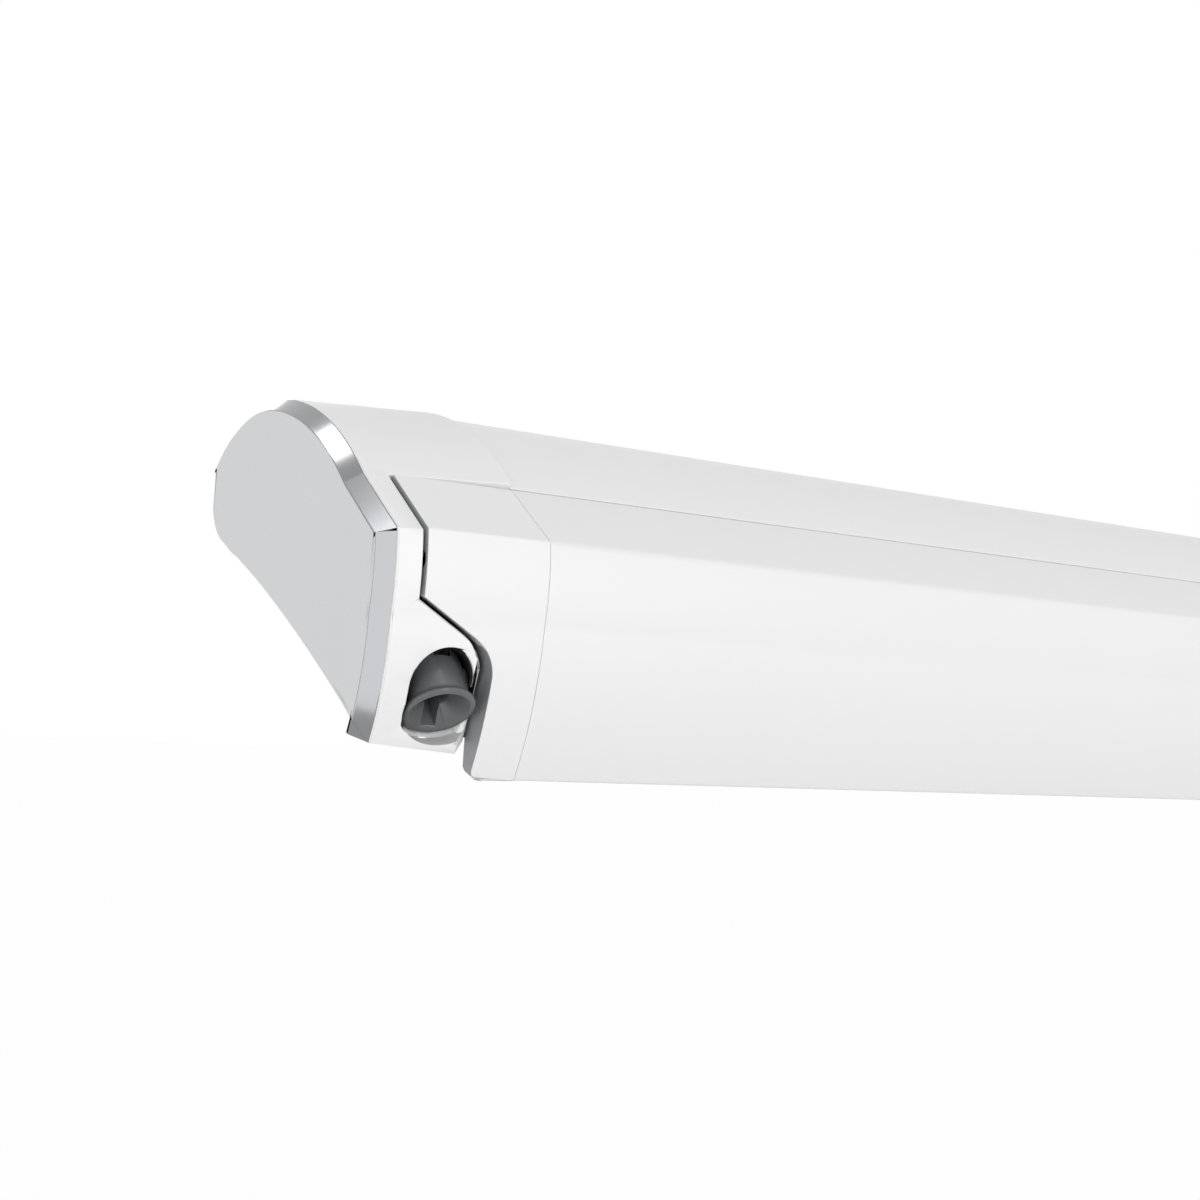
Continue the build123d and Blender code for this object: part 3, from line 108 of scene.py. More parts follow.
def arc(start: Point, middle: Point, end: Point, pieces: int) -> list[Point]:
    """Walks along the circle through three points.

    Args:
        start: First point of the arc.
        middle: A point that the arc passes.
        end: Last point of the arc.
        pieces: Number of straight pieces.

    Returns:
        The points from start to end, both included.
    """
    (ax, ay), (bx, by), (cx, cy) = start, middle, end
    turn = 2 * (ax * (by - cy) + bx * (cy - ay) + cx * (ay - by))
    a2, b2, c2 = ax * ax + ay * ay, bx * bx + by * by, cx * cx + cy * cy
    ox = (a2 * (by - cy) + b2 * (cy - ay) + c2 * (ay - by)) / turn
    oy = (a2 * (cx - bx) + b2 * (ax - cx) + c2 * (bx - ax)) / turn
    radius = math.hypot(ax - ox, ay - oy)
    first = math.atan2(ay - oy, ax - ox)
    sweep = (math.atan2(cy - oy, cx - ox) - first) % math.tau
    if (math.atan2(by - oy, bx - ox) - first) % math.tau > sweep:
        sweep -= math.tau
    angles = [first + sweep * step / pieces for step in range(pieces + 1)]
    return [(ox + radius * math.cos(a), oy + radius * math.sin(a)) for a in angles]


def circle(centre: Point, radius: float, first: float = 0.0, last: float = 360.0, pieces: int = 32) -> list[Point]:
    """Gives points on a circle from one angle to another, in degrees, both included."""
    angles = [math.radians(first + (last - first) * k / pieces) for k in range(pieces + 1)]
    return [(centre[0] + radius * math.cos(a), centre[1] + radius * math.sin(a)) for a in angles]


def joined(*runs: list[Point]) -> list[Point]:
    """Puts runs of points after each other and drops points that repeat."""
    points: list[Point] = []
    for point in (p for run in runs for p in run):
        if not points or math.dist(points[-1], point) > SAME_POINT:
            points.append(point)
    if math.dist(points[0], points[-1]) < SAME_POINT:
        points.pop()
    return points


def inset(points: list[Point], distance: float, closed: bool) -> list[Point]:
    """Moves a clockwise outline inwards with mitred corners.

    Args:
        points: The outline, clockwise with back to the right and up upwards.
        distance: How far to move it, in millimetres.
        closed: Whether the last point joins the first.

    Returns:
        As many points as the outline has.
    """
    count, moved, sharpest = len(points), [], 0.2
    for i, (x, y) in enumerate(points):
        before = points[(i - 1) % count] if closed or i else None
        after = points[(i + 1) % count] if closed or i < count - 1 else None
        normals = []
        for a, b in ((before, (x, y)), ((x, y), after)):
            if a is not None and b is not None:
                length = math.dist(a, b)
                normals.append(((b[1] - a[1]) / length, -(b[0] - a[0]) / length))
        (nx, ny), (mx, my) = normals[0], normals[-1]
        share = distance / max(1 + nx * mx + ny * my, sharpest)
        moved.append((x + (nx + mx) * share, y + (ny + my) * share))
    return moved


def between(start: Point, end: Point, share: float) -> Point:
    """Gives the point at a share of the way from one point to another."""
    return (start[0] + (end[0] - start[0]) * share, start[1] + (end[1] - start[1]) * share)


def eased(points: list[Point], corner: Point, reach: float, pieces: int = 5) -> list[Point]:
    """Rounds the corner of a closed outline that lies nearest to a point.

    Args:
        points: The closed outline.
        corner: Where the corner is.
        reach: How far from the corner the rounding starts, in millimetres.
        pieces: Number of straight pieces in the rounding.

    Returns:
        The outline with its corner rounded.
    """
    count = len(points)
    at = min(range(count), key=lambda i: math.dist(points[i], corner))
    tip = points[at]

    def cut(step: int) -> tuple[Point, int]:
        """Finds where the rounding starts on one side, and how many points it swallows."""
        left, here = reach, tip
        for n in range(1, count):
            there = points[(at + step * n) % count]
            span = math.dist(here, there)
            if span > left:
                return (between(here, there, left / span), n)
            left, here = left - span, there
        return (here, 1)

    (start, used_before), (end, used_after) = cut(-1), cut(1)
    curve = []
    for k in range(pieces + 1):
        t = k / pieces
        u = 1 - t
        curve.append(tuple(u * u * start[i] + 2 * u * t * tip[i] + t * t * end[i] for i in (0, 1)))
    kept = [points[(at + used_after + k) % count] for k in range(count - used_before - used_after + 1)]
    return joined(curve, kept)


@dataclass(frozen=True)
class CaseShape:
    """The outline of the closed awning in section, drawn through named points."""

    points: dict[str, Point] = field(
        default_factory=lambda: {
            name: (back * CASE_DEPTH, up * CASE_HEIGHT)
            for name, (back, up) in {
                "crease": (0.0, 0.567), "joint": (0.1754, 0.7244), "dome": (0.3977, 0.9134),
                "crown": (0.655, 1.0), "shoulder": (0.883, 0.941), "rear_top": (1.0, 0.8346),
                "rear_low": (1.0, 0.6772), "corner": (0.962, 0.5866), "floor_rear": (0.8772, 0.5236),
                "floor_mid": (0.5146, 0.3165), "floor_front": (0.1579, 0.0709), "toe": (0.0702, 0.0),
                "low_front": (0.0269, 0.1417), "face": (0.0029, 0.3386), "high_front": (-0.0058, 0.4567),
            }.items()
        }
    )

    def dome(self) -> list[Point]:
        """Gives the case's own outside: from the joint over the top and the back to the floor's front."""
        p = self.points
        return joined(
            arc(p["joint"], p["dome"], p["crown"], 56),
            arc(p["crown"], p["shoulder"], p["rear_top"], 44),
            arc(p["rear_low"], p["corner"], p["floor_rear"], 28),
            arc(p["floor_rear"], p["floor_mid"], p["floor_front"], 40),
        )

    def whole(self) -> list[Point]:
        """Gives the closed outline of the end plate, clockwise from the crease."""
        p = self.points
        return joined(
            [p["crease"]],
            self.dome(),
            arc(p["toe"], p["low_front"], p["face"], 24),
            arc(p["face"], p["high_front"], p["crease"], 16),
        )

    def beside_joint(self, along: float, out: float) -> Point:
        """Gives a point near the joint: along the slope towards the rear, and square to it, outwards."""
        (b0, u0), (b1, u1) = self.points["crease"], self.points["joint"]
        length = math.dist((b0, u0), (b1, u1))
        c, s = (b1 - b0) / length, (u1 - u0) / length
        return (b1 + along * c - out * s, u1 + along * s + out * c)


SHAPE = CaseShape()


# ---------------------------------------------------------------- finishes


def linear(hex_colour: str) -> tuple[float, float, float, float]:
    """Turns an sRGB hex colour into the linear colour that Blender's sockets take."""
    channels = [int(hex_colour.lstrip("#")[i : i + 2], 16) / 255 for i in (0, 2, 4)]
    return (*(c / 12.92 if c <= 0.04045 else ((c + 0.055) / 1.055) ** 2.4 for c in channels), 1.0)


def add(
    tree: Tree,
    kind: str,
    settings: dict[str, object] | None = None,
    values: dict[object, object] | None = None,
    links: dict[object, Socket] | None = None,
) -> bpy.types.Node:
    """Adds a node to a tree.

    Args:
        tree: A material's or a geometry's node tree.
        kind: Blender's name of the node's type.
        settings: The node's own properties.
        values: Unlinked inputs, by name or number.
        links: Outputs of other nodes, by the input that they feed.

    Returns:
        The node.
    """
    node = tree.nodes.new(kind)
    for name, value in (settings or {}).items():
        setattr(node, name, value)
    for key, value in (values or {}).items():
        node.inputs[key].default_value = value
    for key, socket in (links or {}).items():
        tree.links.new(socket, node.inputs[key])
    return node


def blank(name: str, colour: str) -> tuple[bpy.types.Material, Tree]:
    """Makes a material with an empty node tree, and gives both."""
    made = bpy.data.materials.new(name)
    made.use_nodes = True
    made.node_tree.nodes.clear()
    made.diffuse_color = linear(colour)
    return made, made.node_tree


def noise(tree: Tree, where: Socket, per_metre: float, detail: float, roughness: float = 0.5) -> Socket:
    """Adds a noise texture of so many cells to the metre, and gives its grey value."""
    values = {"Scale": per_metre, "Detail": detail, "Roughness": roughness}
    return add(tree, "ShaderNodeTexNoise", values=values, links={"Vector": where}).outputs["Fac"]


def remap(
    tree: Tree, value: Socket, low: float, high: float, start: float = 0.0, end: float = 1.0
) -> Socket:
    """Spreads a value's range from start to end over low to high."""
    values = {"From Min": start, "From Max": end, "To Min": low, "To Max": high}
    return add(tree, "ShaderNodeMapRange", values=values, links={"Value": value}).outputs["Result"]


class Grain(Enum):
    """How a surface was made, which decides its relief."""

    ORANGE_PEEL = "flow marks of a powder coat"
    SPARK_ERODED = "fine moulded grain"
    BLASTED = "shot blasted casting"
    DRAWN = "die lines along the extrusion"
    SMOOTH = "lacquered or polished"


# How die lines stretch the grain, and how fine the gloss wanders beside the colour
DRAWN_STRETCH = (0.004, 1.0, 1.0)
GLOSS_SHARE = 0.4


@dataclass(frozen=True)
class Finish:
    """A solid finish: colour, gloss and the relief that its making leaves."""

    name: str
    colour: str
    roughness: float
    grain: Grain
    grain_mm: float
    grain_depth_mm: float
    metallic: float = 0.0
    ior: float = 1.5
    coat: float = 0.0
    mottle: float = 0.03
    mottle_mm: float = 60.0
    gloss_spread: float = 0.04

    def relief(self, tree: Tree, where: Socket) -> Socket:
        """Draws the height of the grain.

        Args:
            tree: The material's tree.
            where: Object coordinates, in metres.

        Returns:
            The height, from 0 to 1.
        """
        per_metre = 1 / (self.grain_mm * MM)
        if self.grain is Grain.DRAWN:
            stretched = add(tree, "ShaderNodeMapping", values={"Scale": DRAWN_STRETCH}, links={"Vector": where})
            where = stretched.outputs["Vector"]
        fine = noise(tree, where, per_metre, 3.0, 0.55)
        if self.grain not in (Grain.SPARK_ERODED, Grain.BLASTED):
            return fine
        pits = add(tree, "ShaderNodeTexVoronoi", {"feature": "SMOOTH_F1"}, {"Scale": per_metre, "Smoothness": 0.6},
                   {"Vector": where})
        both = add(tree, "ShaderNodeMath", {"operation": "MULTIPLY"},
                   links={0: fine, 1: pits.outputs["Distance"]})
        return both.outputs[0]

    def colouring(self, tree: Tree, where: Socket) -> Socket:
        """Varies the colour a little over the surface and returns its socket."""
        plain = linear(self.colour)[:3]
        low, high = ((*(min(c * share, 1.0) for c in plain), 1.0) for share in (1 - self.mottle, 1 + self.mottle))
        cloud = noise(tree, where, 1 / (self.mottle_mm * MM), 4.0)
        mix = add(tree, "ShaderNodeMix", {"data_type": "RGBA"}, {6: low, 7: high}, {0: cloud})
        return mix.outputs[2]

    def material(self) -> bpy.types.Material:
        """Builds the material."""
        made, tree = blank(self.name, self.colour)
        where = add(tree, "ShaderNodeTexCoord").outputs["Object"]
        height = self.relief(tree, where)
        bump = add(tree, "ShaderNodeBump", values={"Strength": 1.0, "Distance": self.grain_depth_mm * MM},
                   links={"Height": height})
        wander = noise(tree, where, 1 / (self.mottle_mm * MM * GLOSS_SHARE), 5.0)
        gloss = remap(tree, wander, self.roughness - self.gloss_spread, self.roughness + self.gloss_spread)
        shader = add(tree, "ShaderNodeBsdfPrincipled",
                     values={"Metallic": self.metallic, "IOR": self.ior, "Coat Weight": self.coat,
                             "Coat Roughness": 0.12},
                     links={"Base Color": self.colouring(tree, where), "Roughness": gloss,
                            "Normal": bump.outputs["Normal"]})
        add(tree, "ShaderNodeOutputMaterial", links={"Surface": shader.outputs["BSDF"]})
        return made


@dataclass(frozen=True)
class SpeckledLacquer(Finish):
    """A satin lacquer with fine flakes in it: light and dark specks under a smooth film."""

    fleck: str = "#FFFFFF"
    fleck_mm: float = 0.7
    fleck_share: float = 0.16
    fleck_range: Point = (0.45, 0.75)

    def colouring(self, tree: Tree, where: Socket) -> Socket:
        """Adds the flakes to the plain colour and returns its socket."""
        base = Finish.colouring(self, tree, where)
        share = remap(tree, noise(tree, where, 1 / (self.fleck_mm * MM), 1.0), 0.0, self.fleck_share, *self.fleck_range)
        mix = add(tree, "ShaderNodeMix", {"data_type": "RGBA"}, {7: linear(self.fleck)}, {0: share, 6: base})
        return mix.outputs[2]


@dataclass(frozen=True)
class WovenCloth:
    """Coated awning cloth: a plain weave whose threads show through a matt coat."""

    name: str
    colour: str
    thread: str
    repeat_mm: float
    relief_mm: float
    roughness: float
    on_uv: bool
    wave_rate: float = 3.1831
    slubs_per_metre: float = 35.0

    def material(self) -> bpy.types.Material:
        """Builds the cloth: warp and weft as crossed waves, darker between the threads."""
        made, tree = blank(self.name, self.colour)
        where = add(tree, "ShaderNodeTexCoord").outputs["UV" if self.on_uv else "Object"]
        scale = 1 / (self.repeat_mm * MM * self.wave_rate)
        waves = []
        for axis in ("X", "Y"):
            wave = add(tree, "ShaderNodeTexWave", {"bands_direction": axis, "wave_profile": "SIN"},
                       {"Scale": scale, "Distortion": 0.0}, {"Vector": where})
            waves.append(wave.outputs["Fac"])
        weave = add(tree, "ShaderNodeMath", {"operation": "MAXIMUM"}, links={0: waves[0], 1: waves[1]})
        cloud = remap(tree, noise(tree, where, self.slubs_per_metre, 4.0), 0.93, 1.0)
        tint = add(tree, "ShaderNodeMix", {"data_type": "RGBA"}, {6: linear(self.thread), 7: linear(self.colour)},
                   {0: weave.outputs[0]})
        shade = add(tree, "ShaderNodeMix", {"data_type": "RGBA", "blend_type": "MULTIPLY"}, {0: 1.0},
                    {6: tint.outputs[2], 7: cloud})
        bump = add(tree, "ShaderNodeBump", values={"Distance": self.relief_mm * MM},
                   links={"Height": weave.outputs[0]})
        shader = add(tree, "ShaderNodeBsdfPrincipled",
                     values={"Roughness": self.roughness, "Sheen Weight": 0.15, "Sheen Roughness": 0.4},
                     links={"Base Color": shade.outputs[2], "Normal": bump.outputs["Normal"]})
        add(tree, "ShaderNodeOutputMaterial", links={"Surface": shader.outputs["BSDF"]})
        return made


class Stuff(Enum):
    """Everything that the awning is made of, each with the finish that it has, and two colours of painted shade."""

    # Pearl white powder coat on the extrusions: satin, with long soft flow marks
    CASE_COAT = Finish("powder_coated_aluminium", "#E8E8E8", 0.40, Grain.ORANGE_PEEL, 1.6, 0.012, coat=0.1, mottle=0.01)
    # White moulded caps: a fine spark eroded grain takes the shine off them
    WHITE_ASA = Finish("moulded_white_asa", "#E9E9E9", 0.46, Grain.SPARK_ERODED, 0.5, 0.02, ior=1.52, mottle=0.008)
    # Light grey lacquered face of the trim plate, with fine flakes that show as specks
    TRIM_LACQUER = SpeckledLacquer("satin_lacquered_abs", "#E6E7E8", 0.42, Grain.SMOOTH, 0.6, 0.006, mottle=0.015)
    # Polished band round the trim plate: mirror like, a little blurred by its polishing
    TRIM_BRIGHT = Finish("polished_aluminium", "#8A8B8D", 0.13, Grain.SMOOTH, 4.0, 0.002, metallic=1.0, mottle=0.02,
                         gloss_spread=0.03)
    # Glass filled nylon of the bell: dark grey with a soft shine, and fibres that roughen it
    FILLED_NYLON = Finish("glass_filled_nylon", "#606163", 0.32, Grain.SPARK_ERODED, 0.35, 0.03, ior=1.53, mottle=0.12,
                          mottle_mm=3.0)
    # Painted shade: the lead rail's cap's flank in its gap, the same white moulding coloured grey for the shade there
    FLANK_SHADE_ASA = Finish("painted_gap_shade_asa", "#9B9C9E", 0.50, Grain.SPARK_ERODED, 0.5, 0.02, ior=1.52, mottle=0.01)
    # Painted shade round the bell: a dark, dull colour on the bore and the pocket's walls behind the white rim, where
    # shade falls
    POCKET_SHADE_NYLON = Finish("painted_pocket_shade_nylon", "#262628", 0.55, Grain.SPARK_ERODED, 0.5, 0.02, ior=1.53)
    # Black nylon of covers, collars and levers
    BLACK_NYLON = Finish("moulded_black_nylon", "#1B1B1D", 0.48, Grain.SPARK_ERODED, 0.5, 0.02, ior=1.53)
    # Milky uncoloured nylon of the gears
    PALE_NYLON = Finish("natural_nylon", "#D8D3C4", 0.38, Grain.SMOOTH, 2.0, 0.006, ior=1.53)
    # Arm extrusions: the same pearl coat, over straight die lines
    ARM_COAT = Finish("powder_coated_arm", "#DCDDDE", 0.42, Grain.ORANGE_PEEL, 1.4, 0.012, coat=0.1, mottle=0.012)
    # Die cast joints: coated over a shot blasted skin, so a little coarser
    CASTING = Finish("coated_die_casting", "#C9CACC", 0.46, Grain.BLASTED, 1.1, 0.04, mottle=0.03, mottle_mm=25.0)
    # Legs: silver anodising over the fine lines that the die leaves along the tube
    ANODISED = Finish("anodised_tube", "#BFC1C3", 0.30, Grain.DRAWN, 0.5, 0.006, metallic=1.0, gloss_spread=0.06)
    # Zinc plated steel: brighter, with a slight cloud
    ZINC = Finish("zinc_plated_steel", "#B4B6B8", 0.26, Grain.SMOOTH, 1.5, 0.005, metallic=1.0, mottle=0.05,
                  mottle_mm=12.0)
    # Rubber of the seal and the foot pads
    RUBBER = Finish("black_rubber", "#232325", 0.72, Grain.SPARK_ERODED, 0.8, 0.03, ior=1.45)
    # Grey canopy, wound: its weave follows the cloth
    CANOPY_WOUND = WovenCloth("coated_canopy_wound", "#8C9095", "#7B7F84", 6.4, 0.08, 0.78, True)
    # The same cloth where it runs out
    CANOPY_OUT = WovenCloth("coated_canopy_out", "#8C9095", "#7B7F84", 6.4, 0.08, 0.78, False)


# ---------------------------------------------------------------- making meshes


CLOTH_MM = 0.4


@dataclass
class Bench:
    """Where pieces are made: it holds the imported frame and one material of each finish."""

    frame: dict[str, object]
    made: dict[Stuff, bpy.types.Material] = field(default_factory=dict)
    count: int = 0
    flat: float = 0.6

    def material(self, stuff: Stuff) -> bpy.types.Material:
        """Gives the one material of a finish."""
        if stuff not in self.made:
            self.made[stuff] = stuff.value.material()
        return self.made[stuff]

    def object_of(self, name: str, mesh: bpy.types.Mesh) -> Piece:
        """Puts a mesh into the scene under a name."""
        piece = bpy.data.objects.new(name, mesh)
        bpy.context.scene.collection.objects.link(piece)
        return piece

    def made_from(self, shape: bmesh.types.BMesh, name: str) -> Piece:
        """Puts a worked mesh into the scene under a name, and lets go of the working copy."""
        mesh = bpy.data.meshes.new(name)
        shape.to_mesh(mesh)
        shape.free()
        return self.object_of(name, mesh)

    def plain(self, piece: Piece) -> Piece:
        """Turns an object with modifiers into one with the mesh that they make."""
        bpy.context.view_layer.update()
        seen = piece.evaluated_get(bpy.context.evaluated_depsgraph_get())
        mesh = bpy.data.meshes.new_from_object(seen)
        name, old = piece.name, piece.data
        bpy.data.objects.remove(piece)
        bpy.data.meshes.remove(old)
        mesh.name = name
        return self.object_of(name, mesh)

    def grown(self, piece: Piece, tree: Tree, sizes: dict[str, object]) -> Piece:
        """Runs a geometry node tree on an object and keeps what comes out as a plain mesh.

        Args:
            piece: The object whose mesh goes in.
            tree: The node tree.
            sizes: The tree's other inputs, by name.

        Returns:
            The plain object.
        """
        maker = piece.modifiers.new(tree.name, "NODES")
        maker.node_group = tree
        for item in tree.interface.items_tree:
            if item.in_out == "INPUT" and item.name in sizes:
                maker[item.identifier] = sizes[item.name]
        return self.plain(piece)

    def subtract(self, piece: Piece, cutters: list[Piece]) -> Piece:
        """Cuts closed pieces out of another, in turn, and removes them."""
        for cutter in cutters:
            cut = piece.modifiers.new("cut", "BOOLEAN")
            cut.object, cut.operation, cut.solver = cutter, "DIFFERENCE", "EXACT"
        piece = self.plain(piece)
        for cutter in cutters:
            bpy.data.objects.remove(cutter)
        return piece

    def mend(self, piece: Piece, weld: float = 0.0) -> None:
        """Turns a piece's faces outwards, after a weld of its points where one is asked for."""
        shape = bmesh.new()
        shape.from_mesh(piece.data)
        if weld:
            bmesh.ops.remove_doubles(shape, verts=shape.verts, dist=weld)
        bmesh.ops.recalc_face_normals(shape, faces=shape.faces)
        shape.to_mesh(piece.data)
        shape.free()

    def bevel(self, piece: Piece, width_mm: float, sharp: float) -> bpy.types.Modifier:
        """Breaks a piece's edges that are sharper than an angle in degrees, and gives the modifier."""
        bevel = piece.modifiers.new("broken edges", "BEVEL")
        bevel.width, bevel.segments = width_mm * MM, 2
        bevel.limit_method, bevel.angle_limit = "ANGLE", math.radians(sharp)
        bevel.use_clamp_overlap = False
        return bevel

    def thicken(self, sheet: Piece) -> None:
        """Gives a sheet the cloth's thickness, half to each side."""
        thick = sheet.modifiers.new("cloth", "SOLIDIFY")
        thick.thickness, thick.offset = CLOTH_MM * MM, 0.0

    def shade(self, piece: Piece, degrees: float) -> None:
        """Shades a piece smooth, with sharp edges where its faces turn by more than an angle."""
        piece.data.shade_smooth()
        piece.data.set_sharp_from_angle(angle=math.radians(degrees))

    def finish(self, piece: Piece, stuff: Stuff, body: str, slot: str, replaces: tuple[str, ...] = ()) -> Piece:
        """Gives a piece its finish, its body and the CAD nodes that it stands for.

        Args:
            piece: The finished piece.
            stuff: What it is made of.
            body: The CAD body that it rides on.
            slot: The record's material slot; not used.
            replaces: Names of CAD nodes that it stands for.

        Returns:
            The piece.
        """
        if not piece.data.materials:
            piece.data.materials.append(self.material(stuff))
        elif piece.data.materials[0] is None:
            piece.data.materials[0] = self.material(stuff)
        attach(piece, body)
        if replaces:
            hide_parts(*replaces)
        self.count += 1
        log.info("%s: %d faces, %s, on %s", piece.name, len(piece.data.polygons), stuff.value.name, body)
        return piece

    def repaint(self, stuff: Stuff, *nodes: str) -> None:
        """Gives CAD nodes that keep their mesh a finish."""
        for node in nodes:
            carried = self.frame["nodes"][node]
            carried.data.materials.clear()
            carried.data.materials.append(self.material(stuff))
            log.info("%s: CAD mesh in %s", node, stuff.value.name)

    def carved(self, shape: bmesh.types.BMesh, cutter: Piece) -> bmesh.types.BMesh:
        """Cuts a closed piece out of a mesh, and removes the cutter."""
        left = self.subtract(self.made_from(shape, "carved"), [cutter])
        shape = bmesh.new()
        shape.from_mesh(left.data)
        bpy.data.objects.remove(left)
        bmesh.ops.remove_doubles(shape, verts=shape.verts, dist=CAD_WELD)
        return shape

    def eased_copy(
        self, node: str, stuff: Stuff, body: str, slot: str, edge_mm: float, sharp: float = 32.0,
        shortest_mm: float = 0.002, cutters: tuple[Piece, ...] = (),
    ) -> Piece:
        """Makes a copy of a CAD node with its edges broken, as a mould or a tumbler leaves them.

        Args:
            node: The CAD node.
            stuff: What it is made of.
            body: The body that it rides on.
            slot: The record's material slot.
            edge_mm: Width of the broken edges in millimetres.
            sharp: Angle from which an edge counts as one, in degrees.
            shortest_mm: Edges shorter than this are drawn together first.
            cutters: Closed pieces that are cut away first, and then thrown away.

        Returns:
            The piece, which replaces the node.
        """
        shape = bmesh.new()
        shape.from_mesh(self.frame["nodes"][node].data)
        bmesh.ops.remove_doubles(shape, verts=shape.verts, dist=CAD_WELD)
        for cutter in cutters:
            shape = self.carved(shape, cutter)
        bmesh.ops.dissolve_degenerate(shape, edges=shape.edges, dist=shortest_mm * MM)
        bmesh.ops.dissolve_limit(shape, angle_limit=math.radians(self.flat), verts=shape.verts, edges=shape.edges)
        piece = self.made_from(shape, node + "_eased")
        self.shade(piece, sharp)
        bevel = self.bevel(piece, edge_mm, sharp)
        bevel.miter_outer, bevel.harden_normals = "MITER_ARC", True
        piece = self.plain(piece)
        return self.finish(piece, stuff, body, slot, (node,))


def start_group(name: str, given: str, sizes: tuple[str, ...], made: str) -> tuple[Tree, bpy.types.Node]:
    """Starts a geometry node tree with its sockets.

    Args:
        name: Name of the tree.
        given: Name of the geometry that goes in.
        sizes: Names of the numbers that go in.
        made: Name of the geometry that comes out.

    Returns:
        The tree and its input node.
    """
    tree = bpy.data.node_groups.new(name, "GeometryNodeTree")
    inputs = [(given, "Geometry"), *((size, "Float") for size in sizes), ("Finish", "Material")]
    for socket, kind in inputs:
        tree.interface.new_socket(socket, in_out="INPUT", socket_type="NodeSocket" + kind)
    tree.interface.new_socket(made, in_out="OUTPUT", socket_type="NodeSocketGeometry")
    return tree, add(tree, "NodeGroupInput")


def end_group(tree: Tree, given: bpy.types.Node, geometry: Socket) -> None:
    """Ends a geometry node tree: its geometry made real, in the finish that is given."""
    whole = add(tree, "GeometryNodeRealizeInstances", links={"Geometry": geometry})
    painted = add(tree, "GeometryNodeSetMaterial",
                  links={"Geometry": whole.outputs["Geometry"], "Material": given.outputs["Finish"]})
    add(tree, "NodeGroupOutput", links={0: painted.outputs["Geometry"]})


@dataclass
class Extruder:
    """Geometry Nodes that fill a drawn section and sweep it straight, as a press does."""

    bench: Bench
    tree: Tree | None = None

    def press(self) -> Tree:
        """Builds the node tree once: section in, extrusion out."""
        if self.tree:
            return self.tree
        tree, given = start_group("extrusion_press", "Section", ("Start", "Length"), "Extrusion")
        loops = add(tree, "GeometryNodeMeshToCurve", links={"Mesh": given.outputs["Section"]})
        fill = add(tree, "GeometryNodeFillCurve", {"mode": "TRIANGLES"}, links={"Curve": loops.outputs["Curve"]})
        swept = add(tree, "GeometryNodeExtrudeMesh", {"mode": "FACES"},
                    {"Individual": False, "Offset": (0.0, 0.0, 1.0)},
                    {"Mesh": fill.outputs["Mesh"], "Offset Scale": given.outputs["Length"]})
        foot = add(tree, "GeometryNodeFlipFaces", links={"Mesh": fill.outputs["Mesh"]})
        both = add(tree, "GeometryNodeJoinGeometry", links={"Geometry": swept.outputs["Mesh"]})
        tree.links.new(foot.outputs["Mesh"], both.inputs["Geometry"])
        welded = add(tree, "GeometryNodeMergeByDistance", values={"Distance": WELD},
                     links={"Geometry": both.outputs["Geometry"]})
        lift = add(tree, "ShaderNodeCombineXYZ", links={"Z": given.outputs["Start"]})
        moved = add(tree, "GeometryNodeTransform",
                    links={"Geometry": welded.outputs["Geometry"], "Translation": lift.outputs["Vector"]})
        end_group(tree, given, moved.outputs["Geometry"])
        self.tree = tree
        return tree

    def sweep(
        self, name: str, loops: list[list[Point]], start: float, end: float, stuff: Stuff,
        frame: Matrix | None = None, sharp: float = 24.0,
    ) -> Piece:
        """Extrudes closed loops.

        Args:
            name: Name of the piece.
            loops: Closed loops of (Y, Z) points in metres; a loop inside another is a hole.
            start: Where the extrusion starts, along its length, in metres.
            end: Where it ends.
            stuff: What it is made of.
            frame: Turns (first, second, along) into the awning's frame; X is along by default.
            sharp: Angle from which an edge stays sharp, in degrees.

        Returns:
            The extrusion, as a plain mesh.
        """
        verts: list[Place] = []
        edges: list[tuple[int, int]] = []
        for loop in loops:
            base, count = len(verts), len(loop)
            verts += [(y, z, 0.0) for y, z in loop]
            edges += [(base + i, base + (i + 1) % count) for i in range(count)]
        drawn = bpy.data.meshes.new(name + "_section")
        drawn.from_pydata(verts, edges, [])
        piece = self.bench.object_of(name, drawn)
        sizes = {"Start": start, "Length": end - start, "Finish": self.bench.material(stuff)}
        piece = self.bench.grown(piece, self.press(), sizes)
        piece.data.transform(frame or ALONG_X)
        self.bench.mend(piece)
        self.bench.shade(piece, sharp)
        return piece


def in_metres(points: list[Point]) -> list[Point]:
    """Turns (back, up) points into (Y, Z) points in metres."""
    return [place(b, u) for b, u in points]


def open_port(centre: Point, towards: float) -> list[Point]:
    """Draws a screw port as the extruder makes it: a thick C, open away from its wall.

    Args:
        centre: The screw's (back, up).
        towards: Direction of the opening, in degrees.

    Returns:
        The closed outline of the C.
    """
    outside, bore, outside_gap, bore_gap = 4.0, 2.05, 24, 38
    outer = circle(centre, outside, towards + outside_gap, towards + 360 - outside_gap, 36)
    return joined(outer, circle(centre, bore, towards + 360 - bore_gap, towards + bore_gap, 28))


# ---------------------------------------------------------------- the case and the lead rail


